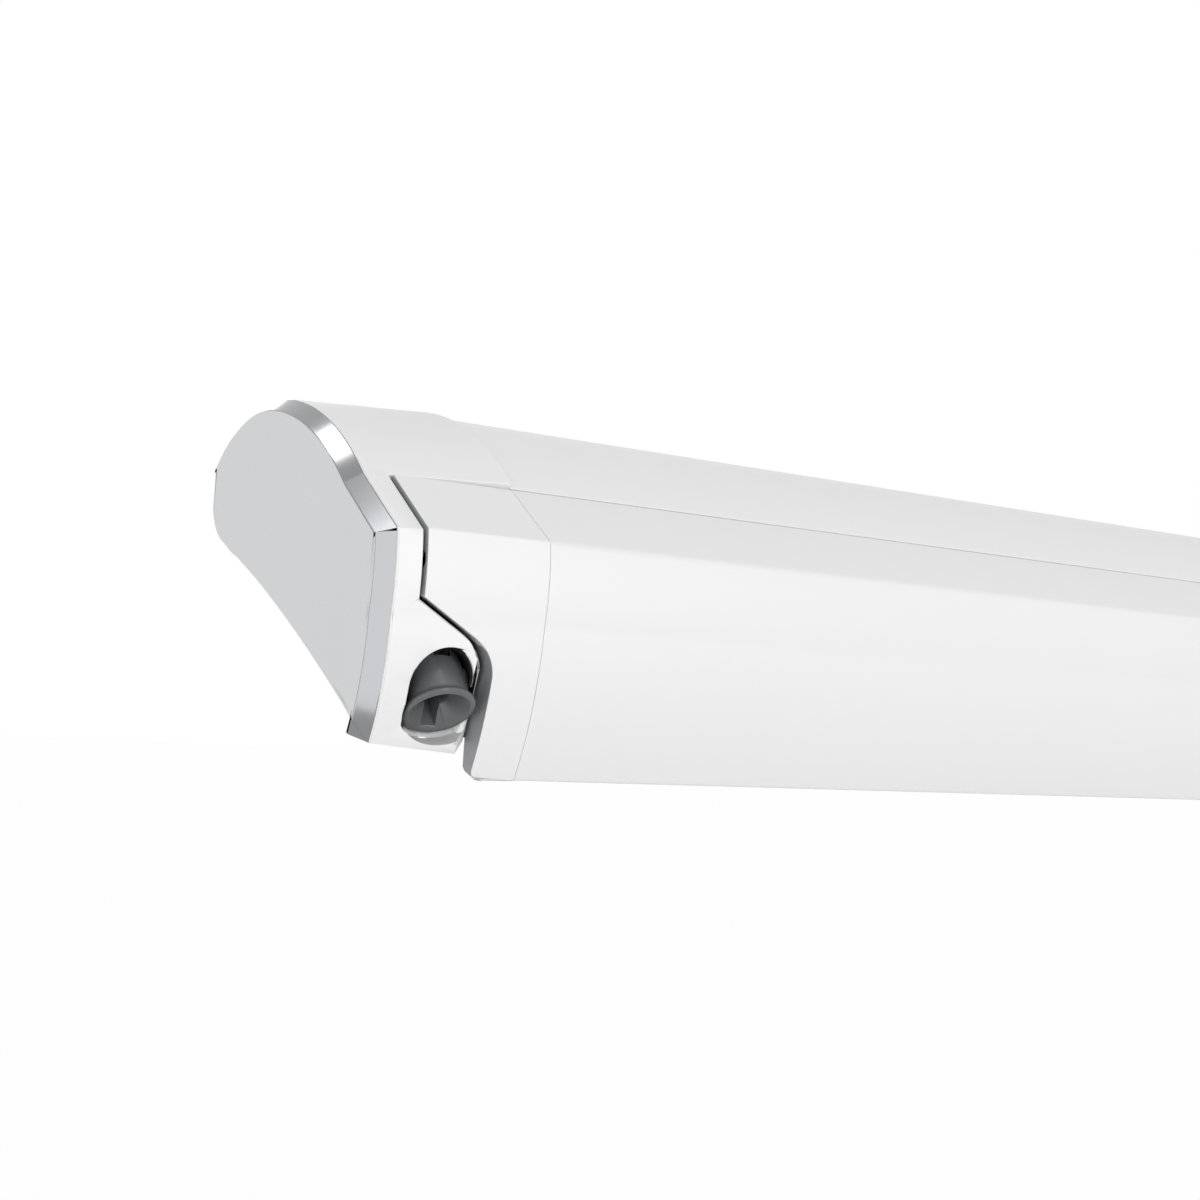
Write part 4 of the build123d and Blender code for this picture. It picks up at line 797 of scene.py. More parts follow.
@dataclass
class Case:
    """The long extruded case, with its bolts' holes, its screw ports and its seal."""

    bench: Bench
    press: Extruder
    wall: float = 1.6
    rear_from: float = 120.0
    rear_inside: float = 167.0
    edge_ease: float = 0.5
    bulb: Point = (0.2, -0.95)
    bulb_radius: float = 0.42
    rear_band: Point = (85.0, 107.0)
    floor_edge: float = 40.0
    bolt_spacings: Point = (2.0, 0.8)
    bolt_radius: float = 0.00425
    ports: tuple[tuple[Point, float], ...] = (((90.2, 118.0), 250.0), ((154.5, 111.7), 215.0), ((148.5, 71.6), 135.0))

    def section(self) -> list[Point]:
        """Draws the wall of the case, thick where it is bolted."""
        outer = [p for p in SHAPE.dome() if math.dist(p, SHAPE.points["joint"]) > SEAM_HALF]
        outer = [SHAPE.beside_joint(SEAM_HALF, 0.0)] + outer
        cut = next(i for i in range(len(outer) - 1, 0, -1) if outer[i][0] >= self.floor_edge)
        (b0, u0), (b1, u1) = outer[cut], outer[cut + 1]
        share = (b0 - self.floor_edge) / (b0 - b1)
        outer = outer[: cut + 1] + [(self.floor_edge, u0 + (u1 - u0) * share)]
        inner = inset(outer, self.wall, False)
        low, high = self.rear_band
        thick: list[Point] = []
        for before, point in zip([inner[0]] + inner, inner):
            for level in (high, low):
                if point[0] > self.rear_from and before[1] > level >= point[1]:
                    edge = (before[0] + point[0]) / 2
                    corner = (self.rear_inside, level)
                    thick += [(edge, level), corner] if level == high else [corner, (edge, level)]
            if not (point[0] > self.rear_from and low <= point[1] <= high):
                thick.append(point)
        loop = joined(outer, thick[::-1])
        for corner in (outer[0], thick[0], outer[-1], thick[-1]):
            loop = eased(loop, corner, self.edge_ease, 3)
        return loop

    def holes(self) -> Piece:
        """Makes the plugs that are cut out of the back for the bolts."""
        shape = bmesh.new()
        for spacing in self.bolt_spacings:
            for side in SIDES.values():
                at = Matrix.Translation((side * spacing / 2, 0.0, 0.0)) @ Matrix.Rotation(math.pi / 2, 4, "X")
                bmesh.ops.create_cone(shape, cap_ends=True, segments=40, radius1=self.bolt_radius,
                                      radius2=self.bolt_radius, depth=0.02, matrix=at)
        return self.bench.made_from(shape, "bolt_plugs")

    def build(self) -> None:
        """Makes the case, its ports and its seal."""
        bench = self.bench
        wall = [in_metres(self.section())]
        shell = self.press.sweep("case_extrusion", wall, -EXTRUSION_HALF, EXTRUSION_HALF, Stuff.CASE_COAT)
        shell = bench.subtract(shell, [self.holes()])
        bench.mend(shell, WELD)
        bench.shade(shell, 24.0)
        bench.finish(shell, Stuff.CASE_COAT, "cassette", "case", ("cassette_profile",))
        bulb = circle(SHAPE.beside_joint(*self.bulb), self.bulb_radius, 0, 330, 11)
        seal = self.press.sweep("case_seal", [in_metres(bulb)], -EXTRUSION_HALF, EXTRUSION_HALF, Stuff.RUBBER)
        bench.finish(seal, Stuff.RUBBER, "cassette", "dark_plastic")
        loops = [in_metres(open_port(centre, towards)) for centre, towards in self.ports]
        ports = self.press.sweep("case_screw_ports", loops, -EXTRUSION_HALF, EXTRUSION_HALF, Stuff.CASE_COAT)
        bench.finish(ports, Stuff.CASE_COAT, "cassette", "case")


@dataclass
class LeadRail:
    """The front extrusion: slope, front face, leg channel, bead groove and screw ports."""

    bench: Bench
    press: Extruder
    wall: float = 1.6
    back: float = 37.5
    back_low: float = 4.0
    lip: Point = (15.0, -9.0)
    foot: float = 16.9
    web: Point = (44.0, 45.6)
    groove: Point = BEAD
    groove_radius: float = 3.0
    groove_wall: float = 1.4
    slot_half: float = 0.8
    slot_angle: float = 24.0
    crease_ease: float = 1.6
    seam_ease: float = 0.5
    lip_ease: float = 1.2
    flange: float = 6.0
    chamber_seam: float = 2.0
    chamber_front: float = 3.2
    chamber_depth: float = 4.0
    ports: tuple[tuple[Point, float], ...] = (((4.3, 62.0), 0.0), ((32.4, 49.2), 135.0))

    def front(self) -> list[Point]:
        """Gives the front face from the bottom lip up to the crease."""
        p = SHAPE.points
        return joined(arc(self.lip, p["low_front"], p["face"], 36), arc(p["face"], p["high_front"], p["crease"], 20))

    def loops(self) -> list[list[Point]]:
        """Draws the outer outline, with the leg channel and the groove, and the closed chamber."""
        front, w = self.front(), self.wall
        top_front = SHAPE.beside_joint(-SEAM_HALF, 0.0)
        top_back = SHAPE.beside_joint(-SEAM_HALF, -self.flange)
        top_up = top_back[1]
        inside = self.back - w
        slope = (self.back_low - self.lip[1]) / (self.back - self.lip[0])
        inner_front = inset(front, w, False)
        rim = math.degrees(math.asin(self.slot_half / self.groove_radius))
        reach = (self.back - self.groove[0]) / math.cos(math.radians(self.slot_angle))
        slot_up = self.groove[1] + reach * math.sin(math.radians(self.slot_angle))
        lip_up = self.slot_half / math.cos(math.radians(self.slot_angle))
        bore = circle(self.groove, self.groove_radius, self.slot_angle + rim, self.slot_angle + 360 - rim, 40)
        low_inner = [p for p in inner_front if p[1] < self.web[0]]
        foot_inside = self.lip[1] + slope * (self.foot - self.lip[0]) + w * math.hypot(1, slope)
        low_inner = [p for p in low_inner if p[1] > foot_inside + 0.2]
        outer = joined(
            [SHAPE.points["crease"], top_front, top_back, (self.back, top_up), (self.back, slot_up + lip_up)],
            bore,
            [(self.back, slot_up - lip_up), (self.back, self.back_low),
             (inside, self.lip[1] + slope * (inside - self.lip[0])), (inside, self.web[0])],
            [(self.at_level(inner_front, self.web[0]), self.web[0])],
            low_inner[::-1],
            [(self.foot, foot_inside), (self.foot, foot_inside - w * math.hypot(1, slope))],
            front,
        )
        outer = eased(outer, SHAPE.points["crease"], self.crease_ease, 8)
        outer = eased(outer, top_front, self.seam_ease, 3)
        outer = eased(outer, self.lip, self.lip_ease, 5)
        wall_ring = self.groove_radius + self.groove_wall
        ring_top = 180 - math.degrees(math.asin((top_up - w - self.groove[1]) / wall_ring))
        ring_side = 360 - math.degrees(math.acos((inside - self.groove[0]) / wall_ring))
        high_inner = [p for p in inner_front if p[1] > self.web[1]]
        under_seam = SHAPE.beside_joint(-self.chamber_seam, -self.chamber_depth - w)
        chamber = joined(
            [(self.at_level(inner_front, self.web[1]), self.web[1])],
            high_inner[:-1],
            [self.inner_crease(), SHAPE.beside_joint(-self.chamber_front, -w), under_seam],
            [(under_seam[0] + 0.3, top_up - w)],
            circle(self.groove, wall_ring, ring_top, ring_side, 24),
            [(inside, self.web[1])],
        )
        return [outer, chamber]

    def inner_crease(self) -> Point:
        """Gives the corner inside the crease."""
        front = self.front()
        corner = joined(front[-3:], [SHAPE.beside_joint(-SEAM_HALF, 0.0)])
        return inset(corner, self.wall, False)[-2]

    @staticmethod
    def at_level(line: list[Point], up: float) -> float:
        """Finds how far back a line is at a height."""
        for (b0, u0), (b1, u1) in zip(line, line[1:]):
            if min(u0, u1) <= up <= max(u0, u1):
                return b0 + (b1 - b0) * (up - u0) / (u1 - u0)
        return line[0][0]

    def build(self) -> None:
        """Makes the rail and its ports."""
        loops = [in_metres(loop) for loop in self.loops()]
        rail = self.press.sweep("lead_rail_extrusion", loops, -EXTRUSION_HALF, EXTRUSION_HALF, Stuff.CASE_COAT)
        self.bench.finish(rail, Stuff.CASE_COAT, "lead_rail", "case", ("lead_rail_profile",))
        rings = [in_metres(open_port(centre, towards)) for centre, towards in self.ports]
        ports = self.press.sweep("rail_screw_ports", rings, -EXTRUSION_HALF, EXTRUSION_HALF, Stuff.CASE_COAT)
        self.bench.finish(ports, Stuff.CASE_COAT, "lead_rail", "case")


# ---------------------------------------------------------------- ends


@dataclass
class Ends:
    """The moulded end caps, the lead rail's caps and the bright trim plates."""

    bench: Bench
    tuck: float = 1.5
    chamfer: float = 5.0
    thickness: float = 6.0
    rim: float = 0.5
    pegs: tuple[Point, ...] = ((68.4, 99.1), (136.8, 111.8), (88.9, 53.3), (20.5, 38.1))
    peg_radius: float = 0.0029
    peg_length: float = 0.003
    peg_sink: float = 0.0014
    # Steps (out, inwards) that round the chamfer off at the rim and at the face
    rim_steps: tuple[Point, ...] = ((-0.1, 0.0), (0.02, 0.04), (0.3, 0.22))
    face_steps: tuple[Point, ...] = ((-0.09, -0.03), (0.0, 0.16), (0.0, 1.4))
    run_out: float = 0.25
    # How far a face of the chamfer must look forwards, or up rather than back, to be polished
    forwards: float = 0.25
    upwards: float = 0.35
    # How far a lead cap's face must look outboard to take the painted shade of the gap
    gap_shade_facing: float = 0.75
    # What comes off beside the upright, (inboard of the face, into the cap), and beside the slant, (off it, in)
    upright_cut: tuple[Point, ...] = ((30.1, -6.0), (30.1, 0.0), (36.4, 8.0), (44.0, 8.0), (44.0, -6.0))
    upright_at: Point = (2.4, 24.5)
    upright_span: Point = (0.012, 0.045)
    slant_cut: tuple[Point, ...] = ((1.4, -3.0), (1.4, 0.2), (0.0, 1.7), (-3.0, 1.7), (-3.0, -3.0))
    slant_at: Point = (8.9, 49.1)
    slant_way: Point = (0.854, 0.52)
    slant_span: Point = (0.0006, 0.029)
    # The cheek: its arch and the gap's round corner as (inboard, up, radius), and the gap's straight part
    cheek_arch: Place = (20.1, 24.6, 10.3)
    cheek_corner: Place = (22.1, 21.3, 13.5)
    cheek_edge: float = 30.2
    cheek_flare: float = 0.12
    cheek_angles: Point = (-14.0, 78.0)
    cheek_steps: int = 24
    cheek_bend: float = 24.5
    cheek_front: float = 2.35
    cheek_leans: Point = (0.132, 0.2)
    cheek_depth: float = 2.6
    # Where the painted shade round the bell may be: behind the front skin, between two levels, near the bell's axis
    skin: float = 3.5
    arch_levels: Point = (17.0, 35.5)
    wall_from: float = 0.006
    sideways: float = 0.3
    floor_facing: float = 0.45
    back_tilt: float = 20.5
    pocket_shade_from: float = 0.002
    bore_reach: float = 0.012
    arch_reach: float = 0.0175

    def trim(self, side: str) -> Piece:
        """Makes a trim plate from rings of its outline: a rim, a chamfer polished in front, a flat face."""
        base = inset(SHAPE.whole(), self.tuck, True)
        slope = (self.thickness - self.rim) / self.chamfer
        rings = [(0.0, 0.0), *((self.rim + out, inward) for out, inward in self.rim_steps)]
        rings += [(self.thickness - self.run_out * slope, self.chamfer - self.run_out)]
        rings += [(self.thickness + out, self.chamfer + inward) for out, inward in self.face_steps]
        sign = SIDES[side]
        shape = bmesh.new()
        made = []
        for out, inward in rings:
            ring = inset(base, inward, True) if inward else base
            made.append([shape.verts.new((sign * (END_FACE_X + out * MM), *place(b, u))) for b, u in ring])
        count = len(base)
        inner = inset(base, self.chamfer, True)
        ways = [((b[0] - a[0]) / self.chamfer, (b[1] - a[1]) / self.chamfer) for a, b in zip(inner, base)]
        bright = [back < -self.forwards or up - back > self.upwards for back, up in ways]
        for level, (low, high) in enumerate(zip(made, made[1:])):
            for i in range(count):
                j = (i + 1) % count
                strip = shape.faces.new((low[i], low[j], high[j], high[i]))
                strip.material_index = 1 if 1 < level < len(made) - 2 and bright[i] else 0
        lids = [shape.faces.new(made[-1]), shape.faces.new(made[0])]
        bmesh.ops.triangulate(shape, faces=lids)
        for b, u in self.pegs:
            at = Matrix.Translation((sign * (END_FACE_X - self.peg_sink), *place(b, u)))
            bmesh.ops.create_cone(shape, cap_ends=True, segments=24, radius1=self.peg_radius, radius2=self.peg_radius,
                                  depth=self.peg_length, matrix=at @ Matrix.Rotation(math.pi / 2, 4, "Y"))
        bmesh.ops.recalc_face_normals(shape, faces=shape.faces)
        piece = self.bench.made_from(shape, f"bright_trim_{side}")
        self.bench.shade(piece, 7.0)
        for stuff in (Stuff.TRIM_LACQUER, Stuff.TRIM_BRIGHT):
            piece.data.materials.append(self.bench.material(stuff))
        return piece

    def paint_gap_shade(self, lead: Piece, outwards: float) -> None:
        """Paints the shade of the gap on the lead cap's faces that look into it, as a grey colour."""
        lead.data.materials.append(self.bench.material(Stuff.FLANK_SHADE_ASA))
        for face in lead.data.polygons:
            if face.normal.x * outwards > self.gap_shade_facing:
                face.material_index = 1

    def wedges(self, outwards: float) -> tuple[Piece, ...]:
        """Makes what is cut off the end cap's front edge along the gap: beside its upright and its slant.

        Args:
            outwards: Sign of X at this end.

        Returns:
            The two closed cutters.
        """
        tilt = math.radians(self.back_tilt)
        down = Vector((0.0, math.sin(tilt), -math.cos(tilt)))
        inwards = Vector((0.0, math.cos(tilt), math.sin(tilt)))
        top = Vector((0.0, *place(*self.upright_at))) - down * self.upright_span[0]
        inboard = Vector((-outwards, 0.0, 0.0))
        run, fall = self.slant_way
        along = (inboard * run + Vector((0.0, 0.0, -fall))).normalized()
        off = (inboard * -fall + Vector((0.0, 0.0, -run))).normalized()
        x, up = self.slant_at
        corner = Vector((outwards * END_FACE_X, *place(0.0, up))) + inboard * x * MM
        return (
            self.prism([Vector((outwards * END_FACE_X, 0.0, 0.0)) + top + (inboard * x + inwards * n) * MM
                        for x, n in self.upright_cut], down * self.upright_span[1]),
            self.prism([corner + (off * x + Vector((0.0, 1.0, 0.0)) * n) * MM - along * self.slant_span[0]
                        for x, n in self.slant_cut], along * self.slant_span[1]),
        )

    def prism(self, outline: list[Vector], reach: Vector) -> Piece:
        """Makes a closed prism from an outline and the way that it is swept."""
        shape = bmesh.new()
        ends = [[shape.verts.new(point + shift) for point in outline] for shift in (Vector(), reach)]
        for i in range(len(outline)):
            j = (i + 1) % len(outline)
            shape.faces.new((ends[0][i], ends[0][j], ends[1][j], ends[1][i]))
        shape.faces.new(ends[0])
        shape.faces.new(ends[1][::-1])
        bmesh.ops.recalc_face_normals(shape, faces=shape.faces)
        return self.bench.made_from(shape, "wedge")

    def cheek(self) -> None:
        """Makes the thin white cheek between the arch over the bell and the gap, with painted shade on its faces that
        don't look forwards.
        """
        rows = []
        arch_x, arch_up, arch_radius = self.cheek_arch
        corner_x, corner_up, corner_radius = self.cheek_corner
        first, sweep = self.cheek_angles
        for k in range(self.cheek_steps + 1):
            angle = math.radians(first + sweep * k / self.cheek_steps)
            x, up = arch_x + arch_radius * math.cos(angle), arch_up + arch_radius * math.sin(angle)
            above = up - self.cheek_bend
            rounded = corner_x + math.sqrt(max(corner_radius**2 - (up - corner_up) ** 2, 0.0))
            outer = min(rounded, self.cheek_edge + max(above, 0.0) * self.cheek_flare)
            back = self.cheek_front - above * self.cheek_leans[0 if above > 0 else 1]
            width, deep = max(outer - x, 0.05), back + self.cheek_depth
            rows.append([(x, back + 0.5, up), (x + 0.25, back + 0.02, up), (x + width, back, up),
                         (x + width, deep, up), (x, deep, up)])
        shape = bmesh.new()
        made = [[shape.verts.new((-END_FACE_X + x * MM, *place(b, u))) for x, b, u in row] for row in rows]
        for low, high in zip(made, made[1:]):
            for i in range(len(low)):
                j = (i + 1) % len(low)
                shape.faces.new((low[i], low[j], high[j], high[i]))
        shape.faces.new(made[0])
        shape.faces.new(made[-1][::-1])
        bmesh.ops.recalc_face_normals(shape, faces=shape.faces)
        piece = self.bench.made_from(shape, "bell_arch_cheek")
        self.bench.shade(piece, 32.0)
        # The second finish is painted shade, for the cheek's faces that don't look forwards
        for stuff in (Stuff.WHITE_ASA, Stuff.POCKET_SHADE_NYLON):
            piece.data.materials.append(self.bench.material(stuff))
        for face in piece.data.polygons:
            if face.normal.y > -self.sideways:
                face.material_index = 1
        self.bench.finish(piece, Stuff.WHITE_ASA, "cassette", "cap")

    def paint_pocket_shade(self, cap: Piece) -> None:
        """Paints shade round the bell: its bore and walls take a dark colour, but not the scoop under it."""
        cap.data.materials.append(self.bench.material(Stuff.POCKET_SHADE_NYLON))
        x, back, up = BELL_MOUTH
        tilt = math.radians(BELL_TILT)
        axis = Vector((0.0, math.cos(tilt), math.sin(tilt)))
        mouth = Vector((x, *place(back, up)))
        low, high = self.arch_levels
        for face in cap.data.polygons:
            reach = Vector(face.center) - mouth
            along = reach.dot(axis)
            off = (reach - axis * along).length
            back, up = face.center.y / MM + CASE_DEPTH, face.center.z / MM + MOUNT_UP
            bored = along > self.pocket_shade_from and off < self.bore_reach
            in_pocket_shade = back > self.skin and up < high and off < self.arch_reach
            arched = low < up and face.normal.x < self.sideways
            walled = face.center.x < x - self.wall_from and face.normal.x > self.sideways
            if (bored or in_pocket_shade and (arched or walled)) and face.normal.z < self.floor_facing:
                face.material_index = 1

    def build(self) -> None:
        """Dresses both ends."""
        for side in SIDES:
            self.bench.finish(self.trim(side), Stuff.TRIM_LACQUER, "cassette", "trim", (f"trim_plate_{side}",))
            cap = self.bench.eased_copy(f"end_cap_{side}", Stuff.WHITE_ASA, "cassette", "cap", 0.25, 32.0, 0.12,
                                        self.wedges(SIDES[side]))
            lead = self.bench.eased_copy(f"lead_cap_{side}", Stuff.WHITE_ASA, "lead_rail", "cap", 0.45, 32.0, 0.12)
            # The lead cap's flank in the gap gets painted shade
            self.paint_gap_shade(lead, SIDES[side])
            # At the crank's end, shade is painted round the bell and on the cheek
            if side == "left":
                self.paint_pocket_shade(cap)
                self.cheek()


# ---------------------------------------------------------------- drive


@dataclass
class Drive:
    """The crank's bell, its gearbox and the roller's bearings."""

    bench: Bench
    shaft_end: float = 69.2
    edge: float = 0.18
    profile: tuple[Point, ...] = (
        (10.3, 0.35), (10.7, 0.08), (11.2, 0.0), (11.75, 0.14), (12.15, 0.5), (12.3, 1.05), (12.2, 1.65), (11.8, 2.25),
        (11.3, 2.7), (11.0, 3.3), (10.9, 4.2), (10.85, 12.0), (10.8, 23.4), (10.5, 24.0), (5.4, 27.8), (5.0, 28.2),
    )
    cone: tuple[Point, ...] = ((4.3, 5.7), (4.15, 6.1), (4.15, 20.0))
    slot: tuple[float, float, float, float] = (5.2, 18.4, 0.9, 14.0)
    windows: tuple[tuple[float, float, float, float], ...] = ((24.6, 5.6, 9.0, 14.6), (5.6, 24.6, 15.6, 21.2))

    def bell(self) -> None:
        """Turns the bell on its axis and cuts its slot and its two pairs of windows."""
        outline = list(self.profile) + [(5.0, self.shaft_end), (0.0, self.shaft_end), (0.0, 20.0)]
        outline += list(self.cone)[::-1]
        shape = bmesh.new()
        ring = [shape.verts.new((r * MM, 0.0, z * MM)) for r, z in outline]
        edges = [shape.edges.new((a, b)) for a, b in zip(ring, ring[1:])] + [shape.edges.new((ring[-1], ring[0]))]
        bmesh.ops.spin(shape, geom=ring + edges, cent=(0, 0, 0), axis=(0, 0, 1), angle=math.tau, steps=96,
                       use_merge=True, use_duplicate=False)
        bmesh.ops.remove_doubles(shape, verts=shape.verts, dist=WELD)
        bmesh.ops.recalc_face_normals(shape, faces=shape.faces)
        turned = self.bench.made_from(shape, "crank_bell_turned")
        cutters = []
        for across, along, low, high in (self.slot, *self.windows):
            block = bmesh.new()
            size = Matrix.Diagonal((across * MM, along * MM, (high - low) * MM, 1.0))
            bmesh.ops.create_cube(block, size=1.0, matrix=Matrix.Translation((0, 0, (low + high) / 2 * MM)) @ size)
            cutters.append(self.bench.made_from(block, "bell_cutter"))
        turned = self.bench.subtract(turned, cutters)
        self.bench.bevel(turned, self.edge, 40.0)
        turned = self.bench.plain(turned)
        x, back, up = BELL_MOUTH
        turn = Matrix.Rotation(math.radians(BELL_TILT - 90.0), 4, "X")
        turned.data.transform(Matrix.Translation((x, *place(back, up))) @ turn)
        self.bench.shade(turned, 28.0)
        self.bench.finish(turned, Stuff.FILLED_NYLON, "crank_drive", "dark_plastic", ("crank_bell",))

    def build(self) -> None:
        """Dresses the bell and everything that it turns."""
        bench = self.bench
        self.bell()
        bench.repaint(Stuff.ZINC, "worm_shaft", "bearing_plates")
        for node, edge in (("gearbox_housing", 0.5), ("gearbox_cover", 0.4)):
            bench.eased_copy(node, Stuff.BLACK_NYLON, "cassette", "dark_plastic", edge)
        bench.eased_copy("worm_wheel", Stuff.PALE_NYLON, "gear_shaft", "gear_plastic", 0.3)
        for node, body, edge in (("idler_pinion", "gear_shaft", 0.15), ("roller_gear", "roller", 0.15)):
            bench.eased_copy(node, Stuff.PALE_NYLON, body, "gear_plastic", edge)
        bench.repaint(Stuff.PALE_NYLON, "roller_bushes")
        bench.repaint(Stuff.BLACK_NYLON, "roller_plug_left", "roller_plug_right")
        bench.repaint(Stuff.ANODISED, "roller_tube")


# ---------------------------------------------------------------- fasteners


@dataclass(frozen=True)
class Screw:
    """One screw as the CAD has it: where the middle of its head's face is, which way that looks, and sizes."""

    at: Vector
    axis: Vector
    head: float
    head_height: float
    shank: float
    length: float


@dataclass
class Fasteners:
    """Screws that stand where the CAD's are: a head with a socket cut in it, and a shank right through it."""

    bench: Bench
    tree: Tree | None = None
    socket_share: float = 0.55
    depth_share: float = 1.2

    def read(self, node: str) -> list[Screw]:
        """Reads each screw's place, axis and sizes from a CAD node.

        Args:
            node: The node; each loose piece of its mesh is one screw.

        Returns:
            The screws.
        """
        shape = bmesh.new()
        shape.from_mesh(self.bench.frame["nodes"][node].data)
        bmesh.ops.remove_doubles(shape, verts=shape.verts, dist=CAD_WELD)
        shape.normal_update()
        left, screws = dict.fromkeys(shape.verts), []
        while left:
            found, front = [], [left.popitem()[0]]
            while front:
                vert = front.pop()
                found.append(vert)
                fresh = [other for other in (e.other_vert(vert) for e in vert.link_edges) if other in left]
                for other in fresh:
                    del left[other]
                front += fresh
            screws.append(self.measure(found))
        shape.free()
        return screws

    @staticmethod
    def measure(found: list[bmesh.types.BMVert]) -> Screw:
        """Measures a screw: more of its faces' area looks along its axis than any other way."""
        points = [v.co.copy() for v in found]
        ways: dict[tuple[float, ...], Vector] = {}
        for face in dict.fromkeys(f for v in found for f in v.link_faces):
            way = face.normal * math.copysign(face.calc_area(), max(face.normal, key=abs))
            key = tuple(round(c, 2) + 0.0 for c in way.normalized())
            ways[key] = ways.get(key, Vector()) + way
        axis = max(ways.values(), key=lambda way: way.length).normalized()
        reach = [p.dot(axis) for p in points]
        top = [p for p, r in zip(points, reach) if r > max(reach) - 0.05 * MM]
        low = [p for p, r in zip(points, reach) if r < min(reach) + 0.05 * MM]
        ends = [Vector([(min(c) + max(c)) / 2 for c in zip(*side)]) for side in (top, low)]
        wide = [max((p - ends[k]).cross(axis).length for p in side) for k, side in enumerate((top, low))]
        if wide[0] < wide[1]:
            ends, wide, axis = ends[::-1], wide[::-1], -axis
        depth = [(ends[0] - p).dot(axis) for p in points]
        head_height = max(d for d, p in zip(depth, points) if (p - ends[0]).cross(axis).length > wide[0] * 0.95)
        return Screw(ends[0], axis, wide[0], head_height, wide[1], max(depth))

    def socket_screw(self) -> Tree:
        """Builds the node tree once: points in, screws out, whose shanks start at the outer face of the heads."""
        if self.tree:
            return self.tree
        sizes = ("Head", "Head Height", "Shank", "Length", "Socket", "Socket Depth")
        tree, given = start_group("socket_screws", "Places", sizes, "Screws")

        def rod(radius: str, height: str, sides: int, from_top: float) -> Socket:
            """Makes a rod along Z whose top or middle is at the origin."""
            turned = add(tree, "GeometryNodeMeshCylinder", values={"Vertices": sides},
                         links={"Radius": given.outputs[radius], "Depth": given.outputs[height]})
            drop = add(tree, "ShaderNodeMath", {"operation": "MULTIPLY"}, {1: -from_top}, {0: given.outputs[height]})
            shift = add(tree, "ShaderNodeCombineXYZ", links={"Z": drop.outputs[0]})
            moved = add(tree, "GeometryNodeTransform",
                        links={"Geometry": turned.outputs["Mesh"], "Translation": shift.outputs["Vector"]})
            return moved.outputs["Geometry"]

        head = rod("Head", "Head Height", 32, 0.5)
        socket = rod("Socket", "Socket Depth", 6, 0.0)
        shank = rod("Shank", "Length", 24, 0.5)
        cut = add(tree, "GeometryNodeMeshBoolean", {"operation": "DIFFERENCE", "solver": "EXACT"},
                  links={"Mesh 1": head})
        tree.links.new(socket, cut.inputs["Mesh 2"])
        both = add(tree, "GeometryNodeJoinGeometry", links={"Geometry": cut.outputs["Mesh"]})
        tree.links.new(shank, both.inputs["Geometry"])
        axis = add(tree, "GeometryNodeInputNamedAttribute", {"data_type": "FLOAT_VECTOR"}, {"Name": "axis"})
        turn = add(tree, "FunctionNodeAlignRotationToVector", {"axis": "Z"},
                   links={"Vector": axis.outputs["Attribute"]})
        placed = add(tree, "GeometryNodeInstanceOnPoints",
                     links={"Points": given.outputs["Places"], "Instance": both.outputs["Geometry"],
                            "Rotation": turn.outputs["Rotation"]})
        end_group(tree, given, placed.outputs["Instances"])
        self.tree = tree
        return tree

    def stand_in(self, node: str, body: str, slot: str) -> None:
        """Replaces a CAD node of plain screws with screws of the sizes that were read from its first one."""
        screws = self.read(node)
        places = bpy.data.meshes.new(node + "_places")
        places.from_pydata([tuple(s.at) for s in screws], [], [])
        axes = places.attributes.new("axis", "FLOAT_VECTOR", "POINT")
        for item, one in zip(axes.data, screws):
            item.vector = one.axis
        piece = self.bench.object_of(node + "_socket_head", places)
        first = screws[0]
        sizes = {"Head": first.head, "Head Height": first.head_height, "Shank": first.shank, "Length": first.length,
                 "Socket": first.head * self.socket_share, "Socket Depth": first.head_height * self.depth_share,
                 "Finish": self.bench.material(Stuff.ZINC)}
        piece = self.bench.grown(piece, self.socket_screw(), sizes)
        self.bench.shade(piece, 30.0)
        self.bench.finish(piece, Stuff.ZINC, body, slot, (node,))
        log.info("%s: %d screws, head %.2f mm, shank %.2f mm, %.1f mm long", node, len(screws), first.head / MM,
                 first.shank / MM, first.length / MM)

    def build(self) -> None:
        """Stands the screws in for the CAD's."""
        bodies = {"end_cap_screws": "cassette", "lead_cap_screws": "lead_rail",
                  "shoulder_bracket_bolts": "cassette", "wrist_bracket_screws": "lead_rail"}
        for node, body in bodies.items():
            self.stand_in(node, body, "steel")


# ---------------------------------------------------------------- canopy


